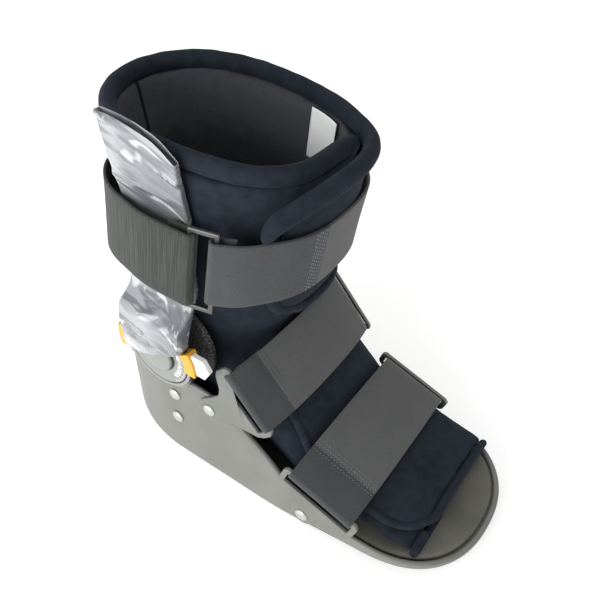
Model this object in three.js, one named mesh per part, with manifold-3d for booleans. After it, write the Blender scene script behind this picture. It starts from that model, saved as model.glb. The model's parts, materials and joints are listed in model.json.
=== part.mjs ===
// Ankle walking boot: a moulded rocker base with strap tabs, a padded cloth liner,
// two hinged uprights in clear film sleeves, and three hook-and-loop straps.
// Units are millimetres. X runs across, the toe points to -Y, +Z is up.
// The origin is on the floor, straight under the axis of the ankle hinges.

import * as THREE from "three";
import { mergeVertices } from "three/addons/utils/BufferGeometryUtils.js";
import Module from "manifold-3d";

const wasm = await Module();
wasm.setup();

// Fits and shared sizes
const GAP = 0.3;
const ROUND_STEPS = 24;

// Base shell
const TOE_REACH = 213;
const HEEL_REACH = 84;
const HALF_WIDTH = 63;
const TOE_ROUND = 63;
const TOE_POWER = 2.3;
const HEEL_POWER = 2;
const SHELL_WALL = 3.5;
const FLOOR_TOP = 15.2;
const WALL_HEIGHT = 82;
const RIM_HEIGHT = 21;
const TOE_LIFT = 13;
const HEEL_LIFT = 5;
const WALL_DRAFT = 0.0003;

// Footbed pad
const INSOLE_THICK = 3.8;
const INSOLE_PLAY = 1.7;

// Ankle hinge
const HINGE_HEIGHT = 110.5;
const ARM_WIDTH = 24;
const ARM_THICK = 2.5;
const ARM_FOOT = 28;
const ARM_PLAY = 0.7;
const TONGUE_RADIUS = 20;
const TONGUE_HEIGHT = 95;
const DIAL_RADIUS = 27.5;
const DIAL_THICK = 3.1;
const CAP_RADIUS = 12.8;
const CAP_THICK = 2.6;
const PAD_RADIUS = 32;
const PAD_THICK = 3.4;

// Stop clips on the dial's edge
const CLIP_SPAN = 34;
const CLIP_DEPTH = 4.6;
const CLIP_JAW = 1.5;
const GRIP_RADIUS = 9;
const GRIP_THICK = 3.4;
const STOP_ANGLES = { front: 168, rear: 0 };

// Uprights and their film sleeves
const UPRIGHT_THICK = 2.2;
const UPRIGHT_WIDTH = 46;
const UPRIGHT_TOP = 242;
const UPRIGHT_TILT = -3;
const UPRIGHT_FLARE = 4;
const FILM_FLARE = 6;
const FILM_THICK = 0.5;
const FILM_EASE = 3;
const FILM_TOPS = { left: UPRIGHT_TOP + 20, right: UPRIGHT_TOP + 5 };

// Rivets
const RIVET_HEAD = 9.4;
const RIVET_SHANK = 4.6;
const RIVET_RISE = 1.7;
const RIVET_FOOT = 1;

// Strap tabs
const TAB_THICK = 2.6;
const TAB_ROOT = 9;
const TAB_BAR = 4;
const TAB_SLOT = 6;
const TAB_FRAME = 4;

// Straps
const STRAP_THICK = 2;
const REAR_STRAP_WIDTH = 44.5;
const FRONT_STRAP_WIDTH = 49.5;
const FOOT_STRAP_BULGE = 8.5;
const LOOP_EASE = 0.8;
const CALF_HALF_WIDTH = 65;
const CALF_FRONT_DEPTH = 78.8;
const CALF_BACK_DEPTH = 72;
const CALF_TOP = 215;
const CALF_REAR_WIDTH = 53;
const CALF_FRONT_WIDTH = 45;
const CALF_CENTRE_LOW = -1.5;
const CALF_CENTRE_HIGH = -11;
const RING_BAR = 3.2;
const RING_DEPTH = 2.2;
const RING_WIDTH = 18.7;

// Liner
const LINER_WALL = 6.5;
const LINER_TOP = 244;
const LINER_FRONT = 82;
const LINER_BACK = CALF_BACK_DEPTH + 4;
const RIM_SLOPE = 0.06;
const RIM_START = 0.866;
const LEG_POWER = { front: 2.4, back: 2.05 };
const FOOT_POWER = 2.7;
const FOOT_LENGTH = 182;
const FOOT_HEIGHT = 118;
const FOOT_HALF_WIDTH = 54;
const FLAP_THICK = 4.5;
const FLAP_EASE = 1.8;
const BINDING_RADIUS = 4.6;
const LABEL_HEIGHT = 31;
const LABEL_THICK = 0.6;

// Levels that follow from the sizes above
const INSOLE_TOP = FLOOR_TOP + GAP + INSOLE_THICK;
const LINER_FLOOR = INSOLE_TOP + GAP;
const wallOuter = (z) => HALF_WIDTH * (1 - WALL_DRAFT * z);
const wallInner = (z) => (HALF_WIDTH - SHELL_WALL) * (1 - WALL_DRAFT * z);
const armShare = ARM_WIDTH / 2 / (HEEL_REACH - SHELL_WALL);
const ARM_OUTER = wallInner(WALL_HEIGHT) * Math.sqrt(1 - armShare ** 2) - ARM_PLAY;
const ARM_INNER = ARM_OUTER - ARM_THICK;
const TONGUE_INNER = wallOuter(TONGUE_HEIGHT - TONGUE_RADIUS) + GAP;
const TONGUE_OUTER = TONGUE_INNER + ARM_THICK;
const PLATE_INNER = TONGUE_OUTER + GAP;
const PLATE_OUTER = PLATE_INNER + UPRIGHT_THICK;
const DIAL_INNER = PLATE_OUTER + GAP;
const DIAL_OUTER = DIAL_INNER + DIAL_THICK;
const CAP_INNER = DIAL_OUTER + GAP;
const CAP_OUTER = CAP_INNER + CAP_THICK;
const PLATE_RADIUS = DIAL_RADIUS - 3.5;
const STRAP_INNER = CALF_HALF_WIDTH - STRAP_THICK;
const FILM_SLACK = 0.4;
const FILM_HANG = 0.9;
const CALF_POWER = 2.6;

// The calf strap's rear band crosses the film's rear edge, which sets how far out the uprights stand.
const FILM_HALF = UPRIGHT_WIDTH / 2 + FILM_EASE + FILM_THICK;
const STRAP_REACH = (FILM_HALF + UPRIGHT_TILT - CALF_CENTRE_HIGH + 2) / (CALF_BACK_DEPTH - STRAP_THICK);
const STRAP_OVER_FILM = STRAP_INNER * (1 - STRAP_REACH ** CALF_POWER) ** (1 / CALF_POWER);
const SLEEVE_WALL = UPRIGHT_THICK / 2 + FILM_SLACK + FILM_THICK;
const BAND_MIDDLE = STRAP_OVER_FILM - GAP - SLEEVE_WALL;
const LINER_HALF_WIDTH = BAND_MIDDLE - SLEEVE_WALL - 2 * GAP;

const model = new THREE.Group();
const degrees = (angle) => (angle * Math.PI) / 180;
const mix = (a, b, t) => a + (b - a) * t;
const clamp01 = (t) => Math.min(1, Math.max(0, t));
const smooth = (t) => clamp01(t) ** 2 * (3 - 2 * clamp01(t));

// Makes a boolean solid of a closed three.js geometry.
function solid(geometry) {
  const bare = geometry.clone();
  for (const name of Object.keys(bare.attributes)) {
    if (name !== "position") bare.deleteAttribute(name);
  }
  const merged = mergeVertices(bare, 1e-4);
  const mesh = new wasm.Mesh({
    numProp: 3,
    vertProperties: new Float32Array(merged.attributes.position.array),
    triVerts: new Uint32Array(merged.index.array),
  });
  return new wasm.Manifold(mesh);
}

// Turns a boolean solid back into a three.js geometry.
function surface(manifold) {
  const mesh = manifold.getMesh();
  const geometry = new THREE.BufferGeometry();
  geometry.setAttribute("position", new THREE.BufferAttribute(mesh.vertProperties, 3));
  geometry.setIndex(new THREE.BufferAttribute(mesh.triVerts, 1));
  geometry.computeVertexNormals();
  return geometry;
}

function add(name, shape, colour, roughness, metalness = 0) {
  const geometry = shape.isBufferGeometry ? shape : surface(shape);
  const material = new THREE.MeshStandardMaterial({ color: colour, roughness, metalness });
  const mesh = new THREE.Mesh(geometry, material);
  mesh.name = name;
  model.add(mesh);
  return mesh;
}

// Joins rings of points, all of one count, into a closed skin. The two ends close as fans round
// their centres, or as strips across a thin curved section.
function loft(rings, strip = false) {
  const count = rings[0].length;
  const points = rings.flat();
  const faces = [];
  const quad = (a, b, c, d) => faces.push(a, b, c, a, c, d);
  for (let r = 0; r + 1 < rings.length; r++) {
    for (let i = 0; i < count; i++) {
      const a = r * count + i;
      const b = r * count + ((i + 1) % count);
      quad(a, b, b + count, a + count);
    }
  }
  for (const [ring, flip] of [[0, true], [rings.length - 1, false]]) {
    const first = ring * count;
    if (strip) {
      for (let i = 0; i + 1 < count / 2; i++) {
        const corners = [first + i, first + i + 1, first + count - 2 - i, first + count - 1 - i];
        quad(...(flip ? corners.reverse() : corners));
      }
      continue;
    }
    const centre = new THREE.Vector3();
    for (const point of rings[ring]) centre.addScaledVector(point, 1 / count);
    points.push(centre);
    for (let i = 0; i < count; i++) {
      const a = first + i;
      const b = first + ((i + 1) % count);
      faces.push(...(flip ? [b, a] : [a, b]), points.length - 1);
    }
  }
  const geometry = new THREE.BufferGeometry();
  geometry.setAttribute("position", new THREE.Float32BufferAttribute(points.flatMap((p) => p.toArray()), 3));
  geometry.setIndex(faces);
  return outward(geometry);
}

// Turns every face of a closed skin round where its volume comes out negative.
function outward(geometry) {
  const p = geometry.attributes.position;
  const index = geometry.index.array;
  const corner = [new THREE.Vector3(), new THREE.Vector3(), new THREE.Vector3()];
  let volume = 0;
  for (let i = 0; i < index.length; i += 3) {
    corner.forEach((v, k) => v.fromBufferAttribute(p, index[i + k]));
    volume += corner[0].dot(corner[1].clone().cross(corner[2]));
  }
  if (volume < 0) {
    for (let i = 0; i < index.length; i += 3) {
      [index[i + 1], index[i + 2]] = [index[i + 2], index[i + 1]];
    }
  }
  return geometry;
}

// Closes a curved sheet between an inner and an outer grid of points.
function sheet(inner, outer) {
  return loft(inner.map((row, r) => [...row, ...outer[r].slice().reverse()]), true);
}

// Extrudes an outline drawn in the (Y, Z) plane across X from one side to the other.
function across(outline, fromX, toX, holes = []) {
  const shape = new THREE.Shape(outline);
  for (const hole of holes) shape.holes.push(new THREE.Path(hole));
  const geometry = new THREE.ExtrudeGeometry(shape, { depth: Math.abs(toX - fromX), bevelEnabled: false });
  const basis = new THREE.Matrix4().makeBasis(
    new THREE.Vector3(0, 1, 0), new THREE.Vector3(0, 0, 1), new THREE.Vector3(1, 0, 0));
  return geometry.applyMatrix4(basis).translate(Math.min(fromX, toX), 0, 0);
}

const flat = (y, z) => new THREE.Vector2(y, z);
const arc = (centreY, centreZ, radius, from, to, steps) =>
  Array.from({ length: steps + 1 }, (_, i) => {
    const angle = degrees(mix(from, to, i / steps));
    return flat(centreY + radius * Math.cos(angle), centreZ + radius * Math.sin(angle));
  });
const circle = (y, z, radius, steps = ROUND_STEPS) => arc(y, z, radius, 0, 360, steps).slice(0, -1);
const disc = (y, z, radius, fromX, toX, steps = ROUND_STEPS) =>
  solid(across(circle(y, z, radius, steps), fromX, toX));
const box = (fromX, toX, fromY, toY, fromZ, toZ) =>
  solid(across([flat(fromY, fromZ), flat(toY, fromZ), flat(toY, toZ), flat(fromY, toZ)], fromX, toX));
const mirrored = (shape) => shape.mirror([1, 0, 0]);

// A smooth curve through the rows of a short table, sampled evenly.
function smoothRow(rows, count) {
  const points = rows.map((row) => new THREE.Vector3(row[0], row[1], 0));
  const curve = new THREE.CatmullRomCurve3(points, false, "centripetal");
  return curve.getPoints(count).map((p) => flat(p.x, p.y));
}

// Reads a table with a rising first column at any value, with straight steps.
function lookup(rows, value, column) {
  const last = rows.length - 1;
  if (value <= rows[0][0]) return rows[0][column];
  if (value >= rows[last][0]) return rows[last][column];
  const next = rows.findIndex((row) => row[0] >= value);
  const t = (value - rows[next - 1][0]) / (rows[next][0] - rows[next - 1][0]);
  return mix(rows[next - 1][column], rows[next][column], t);
}

const power = (value, exponent) => Math.sign(value) * Math.abs(value) ** (2 / exponent);

// Base shell: the plan outline, the rocker underside and the stepped top edge.
function plan(inset, steps) {
  const points = [];
  for (let i = 0; i <= steps; i++) {
    const angle = degrees(mix(-90, 90, i / steps));
    points.push(flat((HALF_WIDTH - inset) * power(Math.sin(angle), TOE_POWER),
      -(TOE_REACH - TOE_ROUND) - (TOE_ROUND - inset) * power(Math.cos(angle), TOE_POWER)));
  }
  for (let i = 0; i <= steps; i++) {
    const angle = degrees(mix(90, -90, i / steps));
    points.push(flat((HALF_WIDTH - inset) * power(Math.sin(angle), HEEL_POWER),
      (HEEL_REACH - inset) * power(Math.cos(angle), HEEL_POWER)));
  }
  return points;
}

function planBlock(inset, fromZ, toZ) {
  const shape = new THREE.Shape(plan(inset, 14));
  const depth = toZ - fromZ;
  return solid(new THREE.ExtrudeGeometry(shape, { depth, bevelEnabled: false }).translate(0, 0, fromZ));
}

const ROCKER_START = 72;
const ROCKER_END = 175;
const HEEL_CURVE = 45;
function underside(y) {
  if (y < 0) return TOE_LIFT * smooth((-y - ROCKER_START) / (ROCKER_END - ROCKER_START));
  return HEEL_LIFT * clamp01((y - HEEL_CURVE) / (HEEL_REACH - HEEL_CURVE)) ** 2;
}

// Top edge of the wall. Columns: share of the toe reach, share of the wall height.
const TOP_EDGE = [
  [-0.41, 1.0], [-0.2, 1.0], [0.0, 1.0], [0.14, 0.99], [0.2, 0.95], [0.255, 0.84], [0.36, 0.64],
  [0.42, 0.5], [0.48, 0.365],
];
// Top edge of the low rim from the front tab on. Columns: share of the toe reach, share of the rim height.
const RIM_EDGE = [[0.58, 1.05], [0.74, 1.0], [0.87, 0.95], [1.02, 0.84]];

function topEdge() {
  const wall = TOP_EDGE.map(([along, rise]) => [-along * TOE_REACH, rise * WALL_HEIGHT]);
  const rim = RIM_EDGE.map(([along, rise]) => [-along * TOE_REACH, rise * RIM_HEIGHT]);
  return smoothRow([...wall, ...rim], 36);
}

function sideProfile() {
  const bottom = [];
  for (let i = 0; i <= 18; i++) {
    const y = mix(-TOE_REACH - 2, HEEL_REACH + 2, i / 18);
    bottom.push(flat(y, underside(y)));
  }
  return [...bottom, ...topEdge()];
}

const SOLE_SIDES = ["left", "right"];
const sideSign = (side) => (side === "left" ? -1 : 1);

// Strap tabs: where each rivet sits, which way the slot runs, how far the tab stands out and how it
// leans in (slope, and the share of the reach it starts at).
const TABS = {
  rear: {
    y: -34, z: 72, slotAngle: 48.2, reach: 42.5, from: -25.5, to: 28, width: REAR_STRAP_WIDTH,
    lean: { left: [0.105, 0.3], right: [0.34, 0.53] },
  },
  front: {
    y: -109, z: 19, slotAngle: 18.6, reach: 31, from: -26.5, to: 33, width: FRONT_STRAP_WIDTH,
    lean: { left: [0.105, 0.3], right: [0.105, 0.3] },
  },
};
const ARM_RIVETS = [62, 38.5];

function tabFrame(tab) {
  const down = degrees(180 + tab.slotAngle);
  const along = new THREE.Vector3(0, Math.cos(down), Math.sin(down));
  const out = new THREE.Vector3(0, -Math.sin(degrees(tab.slotAngle)), Math.cos(degrees(tab.slotAngle)));
  return { along, out, side: new THREE.Vector3().crossVectors(out, along) };
}

function rivetPlaces() {
  const arm = ARM_RIVETS.map((z) => ({ y: 0, z, cover: 0, inner: ARM_INNER }));
  const tabs = Object.values(TABS).map((tab) => (
    { y: tab.y, z: tab.z, cover: TAB_THICK + GAP, inner: wallInner(tab.z) }));
  return [...arm, ...tabs];
}

function buildShell() {
  const outer = planBlock(0, -1, WALL_HEIGHT + 4).intersect(
    solid(across(sideProfile(), -HALF_WIDTH - 2, HALF_WIDTH + 2)));
  const body = outer.subtract(planBlock(SHELL_WALL, FLOOR_TOP, WALL_HEIGHT + 9));
  let shell = body.warp((v) => { v[0] *= 1 - WALL_DRAFT * v[2]; });
  for (const place of rivetPlaces()) {
    shell = shell.subtract(disc(place.y, place.z, RIVET_SHANK / 2 + GAP, -HALF_WIDTH - 5, HALF_WIDTH + 5, 12));
  }
  add("base_shell", shell, "#8f918b", 0.42);
}

function buildInsole() {
  const inset = SHELL_WALL + INSOLE_PLAY;
  const pad = planBlock(inset, FLOOR_TOP + GAP, INSOLE_TOP);
  const bed = pad.warp((v) => { v[0] *= 1 - WALL_DRAFT * v[2]; });
  add("insole", bed, "#5f6059", 0.6);
}

// A rivet is a low dome, a shank through the wall and a thin closing head inside.
function buildRivets() {
  for (const side of SOLE_SIDES) {
    rivetPlaces().forEach((place, i) => {
      const seat = wallOuter(place.z) + place.cover + GAP;
      const foot = place.inner - GAP;
      const profile = [
        [0, foot - RIVET_FOOT], [RIVET_SHANK * 0.8, foot - RIVET_FOOT], [RIVET_SHANK * 0.8, foot],
        [RIVET_SHANK / 2, foot], [RIVET_SHANK / 2, seat], [RIVET_HEAD / 2, seat],
        [RIVET_HEAD * 0.42, seat + RIVET_RISE * 0.6], [RIVET_HEAD * 0.24, seat + RIVET_RISE],
        [0, seat + RIVET_RISE],
      ].map(([r, h]) => new THREE.Vector2(r, h));
      const lathe = new THREE.LatheGeometry(profile, 8);
      const turned = lathe.rotateZ(-Math.PI / 2).translate(0, place.y, place.z);
      const shape = solid(turned);
      add(`rivet_${side}_${i + 1}`, side === "left" ? mirrored(shape) : shape, "#d9dbd6", 0.3, 0.8);
    });
  }
}

// Edges of each tab in its own plane. Columns: share of the reach, share of the side's extent.
const TAB_EDGES = {
  rear: {
    low: [[0.16, 0.34], [0.29, 0.47], [0.5, 0.72], [0.66, 0.95], [0.76, 1.0], [0.93, 1.0], [1.0, 0.9]],
    high: [[0.16, 0.35], [0.45, 0.34], [0.56, 0.5], [0.68, 0.86], [0.76, 1.0], [0.93, 1.0], [1.0, 0.9]],
  },
  front: {
    low: [[0.14, 0.28], [0.37, 0.4], [0.46, 0.72], [0.56, 0.96], [0.64, 1.0], [0.92, 1.0], [1.0, 0.92]],
    high: [[0.14, 0.34], [0.3, 0.4], [0.46, 0.72], [0.58, 0.95], [0.66, 1.0], [0.92, 1.0], [1.0, 0.92]],
  },
};

function tabOutline(place, tab) {
  const edges = TAB_EDGES[place];
  const low = edges.low.map(([out, side]) => flat(out * tab.reach, side * tab.to));
  const high = edges.high.map(([out, side]) => flat(out * tab.reach, side * tab.from));
  return [...arc(0, 0, TAB_ROOT, 90, 270, 10), ...high, ...low.reverse()];
}

function tabLean(out, tab, side) {
  const [slope, start] = tab.lean[side];
  return slope * Math.max(0, out - start * tab.reach);
}

const barCentre = (tab) => tab.reach - TAB_BAR / 2;
const tabSeat = (tab) => wallOuter(tab.z - TAB_ROOT) + GAP;

function buildTabs() {
  for (const [place, tab] of Object.entries(TABS)) {
    const { along, out } = tabFrame(tab);
    const shape = new THREE.Shape(tabOutline(place, tab));
    const slotOut = tab.reach - TAB_BAR;
    const slot = [
      flat(slotOut - TAB_SLOT, tab.from + TAB_FRAME), flat(slotOut, tab.from + TAB_FRAME),
      flat(slotOut, tab.to - TAB_FRAME), flat(slotOut - TAB_SLOT, tab.to - TAB_FRAME),
    ];
    shape.holes.push(new THREE.Path(slot), new THREE.Path(circle(0, 0, RIVET_SHANK / 2 + GAP, 12)));
    const plate = solid(new THREE.ExtrudeGeometry(shape, { depth: TAB_THICK, bevelEnabled: false }));
    const stand = new THREE.Matrix4().makeBasis(out, along, new THREE.Vector3(1, 0, 0));
    stand.setPosition(tabSeat(tab), tab.y, tab.z);
    for (const side of SOLE_SIDES) {
      const fold = tab.lean[side][1] * tab.reach;
      const root = plate.trimByPlane([-1, 0, 0], -fold);
      const leaf = plate.trimByPlane([1, 0, 0], fold).warp((v) => { v[2] -= tabLean(v[0], tab, side); });
      const bent = root.add(leaf).transform(stand.elements);
      add(`strap_tab_${place}_${side}`, side === "left" ? mirrored(bent) : bent, "#8a8c86", 0.42);
    }
  }
}

// Foot straps: one ribbon section in the plane of X and the tab's outward line, with a loop
// round each tab's free bar, extruded over the strap's width.
function buildFootStraps() {
  const names = { rear: "ankle_strap", front: "forefoot_strap" };
  for (const [place, tab] of Object.entries(TABS)) {
    const { along, out } = tabFrame(tab);
    const bars = SOLE_SIDES.map((side) =>
      sideSign(side) * (tabSeat(tab) + TAB_THICK / 2 - tabLean(barCentre(tab), tab, side)));
    const centre = (bars[0] + bars[1]) / 2;
    const half = (bars[1] - bars[0]) / 2;
    const loopInner = Math.hypot(TAB_BAR, TAB_THICK) / 2 + LOOP_EASE;
    const loopOuter = loopInner + STRAP_THICK;
    const ribbonU = barCentre(tab) + (loopInner + loopOuter) / 2;
    const rise = (x) => ribbonU + FOOT_STRAP_BULGE * (1 - Math.abs((x - centre) / half) ** 2.5);
    const top = [];
    const bottom = [];
    const steps = 14;
    for (let i = 0; i <= steps; i++) {
      const x = mix(bars[0], bars[1], i / steps);
      const slope = i === 0 || i === steps ? 0 : (rise(x + 0.1) - rise(x - 0.1)) / 0.2;
      const length = Math.hypot(1, slope);
      top.push(flat(x - (slope / length) * (STRAP_THICK / 2), rise(x) + STRAP_THICK / 2 / length));
      bottom.push(flat(x + (slope / length) * (STRAP_THICK / 2), rise(x) - STRAP_THICK / 2 / length));
    }
    const middle = (tab.from + tab.to) / 2;
    const prism = (outline, over = 0) => {
      const basis = new THREE.Matrix4().makeBasis(new THREE.Vector3(1, 0, 0), out, along);
      basis.setPosition(0, tab.y, tab.z);
      const depth = tab.width + 2 * over;
      const geometry = new THREE.ExtrudeGeometry(new THREE.Shape(outline), { depth, bevelEnabled: false });
      return solid(geometry.translate(0, 0, middle - depth / 2).applyMatrix4(basis));
    };
    let strap = prism([...bottom, ...top.reverse()]);
    for (const bar of bars) strap = strap.add(prism(circle(bar, barCentre(tab), loopOuter, 14)));
    for (const bar of bars) strap = strap.subtract(prism(circle(bar, barCentre(tab), loopInner, 14), 1));
    add(names[place], strap, "#58595b", 0.9);
  }
}

// Ankle hinge: an inner bar riveted inside the wall, a hub over the wall's edge and an outer tongue.
function buildHinges() {
  const barTop = HINGE_HEIGHT + ARM_WIDTH / 2 + 4;
  const bar = [
    ...arc(0, ARM_FOOT + ARM_WIDTH / 2, ARM_WIDTH / 2, 180, 360, 10), flat(ARM_WIDTH / 2, barTop),
    flat(-ARM_WIDTH / 2, barTop),
  ];
  const tongueUp = HINGE_HEIGHT;
  const tongue = [
    ...arc(0, TONGUE_HEIGHT, TONGUE_RADIUS, 180, 360, 12),
    ...arc(0, tongueUp, TONGUE_RADIUS, 0, 180, 12),
  ];
  const hubFloor = WALL_HEIGHT + 2;
  const hubHalf = ARM_WIDTH / 2 - 1;
  const hub = box(ARM_OUTER - 1, TONGUE_INNER + 1, -hubHalf, hubHalf, hubFloor, barTop - 1);
  let arm = solid(across(bar, ARM_INNER, ARM_OUTER))
    .add(solid(across(tongue, TONGUE_INNER, TONGUE_OUTER)))
    .add(hub);
  for (const z of ARM_RIVETS) {
    arm = arm.subtract(disc(0, z, RIVET_SHANK / 2 + GAP, ARM_INNER - 2, ARM_OUTER + 2, 12));
  }
  const groove = disc(0, HINGE_HEIGHT, DIAL_RADIUS - 2.6, DIAL_OUTER - 0.6, DIAL_OUTER + 1)
    .subtract(disc(0, HINGE_HEIGHT, DIAL_RADIUS - 3.6, DIAL_OUTER - 1, DIAL_OUTER + 2));
  const dial = disc(0, HINGE_HEIGHT, DIAL_RADIUS, DIAL_INNER, DIAL_OUTER).subtract(groove);
  const cap = new THREE.LatheGeometry([
    new THREE.Vector2(0, CAP_INNER), new THREE.Vector2(CAP_RADIUS, CAP_INNER),
    new THREE.Vector2(CAP_RADIUS, CAP_OUTER - 1), new THREE.Vector2(CAP_RADIUS - 1.2, CAP_OUTER - 0.3),
    new THREE.Vector2(CAP_RADIUS * 0.5, CAP_OUTER), new THREE.Vector2(0, CAP_OUTER),
  ], 18).rotateZ(-Math.PI / 2).translate(0, 0, HINGE_HEIGHT);
  const padTop = ARM_INNER - GAP;
  const pad = disc(0, HINGE_HEIGHT, PAD_RADIUS, padTop - PAD_THICK, padTop);
  const parts = [
    ["hinge_arm", arm, "#a3a49f", 0.4, 0.2], ["hinge_dial", dial, "#8e908c", 0.4, 0.1],
    ["hinge_cap", solid(cap), "#a9aaa6", 0.35, 0.2], ["hinge_pad", pad, "#3a3a3c", 0.95, 0],
  ];
  for (const [name, shape, colour, roughness, metal] of parts) {
    add(`${name}_right`, shape, colour, roughness, metal);
    add(`${name}_left`, mirrored(shape), colour, roughness, metal);
  }
}

// Stop clips: a bracket that straddles the dial's edge; the front one has a six-sided pull grip.
function buildStops() {
  const inner = PLATE_RADIUS + GAP;
  const outer = DIAL_RADIUS + GAP + CLIP_DEPTH;
  const face = DIAL_OUTER + GAP + CLIP_JAW;
  for (const [place, angle] of Object.entries(STOP_ANGLES)) {
    const ends = [angle - CLIP_SPAN / 2, angle + CLIP_SPAN / 2];
    const sector = [
      ...arc(0, HINGE_HEIGHT, outer, ends[0], ends[1], 6),
      ...arc(0, HINGE_HEIGHT, inner, ends[1], ends[0], 6),
    ];
    const rimRoom = disc(0, HINGE_HEIGHT, DIAL_RADIUS + GAP, DIAL_INNER - GAP, DIAL_OUTER + GAP);
    const clip = solid(across(sector, PLATE_INNER, face)).subtract(rimRoom);
    const middle = outer + GRIP_RADIUS * 0.35;
    const gripY = middle * Math.cos(degrees(angle));
    const gripZ = HINGE_HEIGHT + middle * Math.sin(degrees(angle));
    const clipRoom = disc(0, HINGE_HEIGHT, outer + GAP, PLATE_INNER - 2, face + 2);
    const grip = disc(gripY, gripZ, GRIP_RADIUS, DIAL_INNER, DIAL_INNER + GRIP_THICK, 6)
      .subtract(clipRoom);
    for (const side of SOLE_SIDES) {
      const turn = (shape) => (side === "left" ? mirrored(shape) : shape);
      add(`stop_clip_${side}_${place}`, turn(clip), "#e8951a", 0.45);
      if (place === "front") add(`stop_grip_${side}`, turn(grip), "#eeeeea", 0.5);
    }
  }
}

// Uprights. Columns: height, distance of the plate's middle from the centre plane.
const PLATE_MIDDLE = (PLATE_INNER + PLATE_OUTER) / 2;
const BEND_LEVEL = HINGE_HEIGHT + PLATE_RADIUS + 2;
const BAND_LEVEL = CALF_TOP - CALF_REAR_WIDTH;
const UPRIGHT_PATH = [
  [HINGE_HEIGHT - PLATE_RADIUS, PLATE_MIDDLE], [BEND_LEVEL, PLATE_MIDDLE],
  [BAND_LEVEL, BAND_MIDDLE], [CALF_TOP, BAND_MIDDLE], [UPRIGHT_TOP, BAND_MIDDLE + UPRIGHT_FLARE],
  [FILM_TOPS.left, BAND_MIDDLE + FILM_FLARE],
];
const BAND_HALFWAY = (BAND_LEVEL + CALF_TOP) / 2;
const rising = (levels) => levels.sort((a, b) => a - b);
const UPRIGHT_LEVELS = rising([
  HINGE_HEIGHT, BEND_LEVEL - 12, BEND_LEVEL - 6, BEND_LEVEL, BEND_LEVEL + 6, BEND_LEVEL + 14, BAND_LEVEL,
  BAND_HALFWAY, CALF_TOP, UPRIGHT_TOP - 20, UPRIGHT_TOP - 10, UPRIGHT_TOP - 4, UPRIGHT_TOP,
]);
const leanY = (z) => (UPRIGHT_TILT * clamp01((z - HINGE_HEIGHT) / (CALF_TOP - HINGE_HEIGHT)));

function uprightRow(z, grow) {
  const neck = clamp01((z - HINGE_HEIGHT - PLATE_RADIUS * 0.7) / 26);
  const round = Math.max(0, z - (UPRIGHT_TOP - 14)) / 14;
  const half = (mix(PLATE_RADIUS * 0.72, UPRIGHT_WIDTH / 2, smooth(neck)) - 5 * round ** 2) + grow;
  return { middle: lookup(UPRIGHT_PATH, z, 1), half, centre: leanY(z) };
}

function uprightLoft(heights, thickness, grow) {
  return solid(loft(heights.map((z) => {
    const { middle, half, centre } = uprightRow(z, grow);
    const slim = thickness / 2;
    const corners = [
      [-slim, -half + 1], [0, -half], [slim, -half + 1], [slim, half - 1], [0, half], [-slim, half - 1],
    ];
    return corners.map(([x, y]) => new THREE.Vector3(middle + x, centre + y, z));
  })));
}

function buildUprights() {
  const plate = uprightLoft(UPRIGHT_LEVELS, UPRIGHT_THICK, 0)
    .add(disc(0, HINGE_HEIGHT, PLATE_RADIUS, PLATE_INNER, PLATE_OUTER));
  add("upright_right", plate, "#9a9c99", 0.35, 0.6);
  add("upright_left", mirrored(plate), "#9a9c99", 0.35, 0.6);
}

// Film sleeve: a flat bag round the upright, whose outer face hangs on over the dial's upper half.
// Lower hem. Columns: place along the foot, height over the hinge's axis.
const FILM_EDGE = [
  [-40, 39.5], [-37, 28.5], [-27, 18], [-13, 8.5], [0, 1.5], [13, -3.5], [24, 0.5], [26, 13.5], [26, 39.5],
];
// Slanting upper edge. Columns: place along the foot, height over the sleeve's top.
const FILM_CUT = [[-26, -16], [-16, -7], [-2, -2], [19, 0]];

const FILM_OPEN = BEND_LEVEL + 2;
const FILM_DRAPE = 14;

function filmRow(z, wall) {
  const bulge = smooth((FILM_OPEN + FILM_DRAPE - z) / FILM_DRAPE);
  const { middle } = uprightRow(z, 0);
  const { half, centre } = uprightRow(Math.min(z, UPRIGHT_TOP - 14), FILM_EASE);
  const slack = FILM_SLACK + UPRIGHT_THICK / 2;
  const outer = mix(middle + slack, CAP_OUTER + GAP + FILM_HANG, bulge) + wall;
  const inner = middle - slack - wall;
  const wide = Math.max(half, mix(half, DIAL_RADIUS - 1, bulge)) + wall;
  const section = [
    [inner, -wide * 0.9], [(inner + outer) / 2, -wide], [outer, -wide * 0.9], [outer, -wide * 0.3],
    [outer, wide * 0.3], [outer, wide * 0.9], [(inner + outer) / 2, wide], [inner, wide * 0.9],
  ];
  return section.map(([x, y]) => new THREE.Vector3(x, y + centre, z));
}

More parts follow.
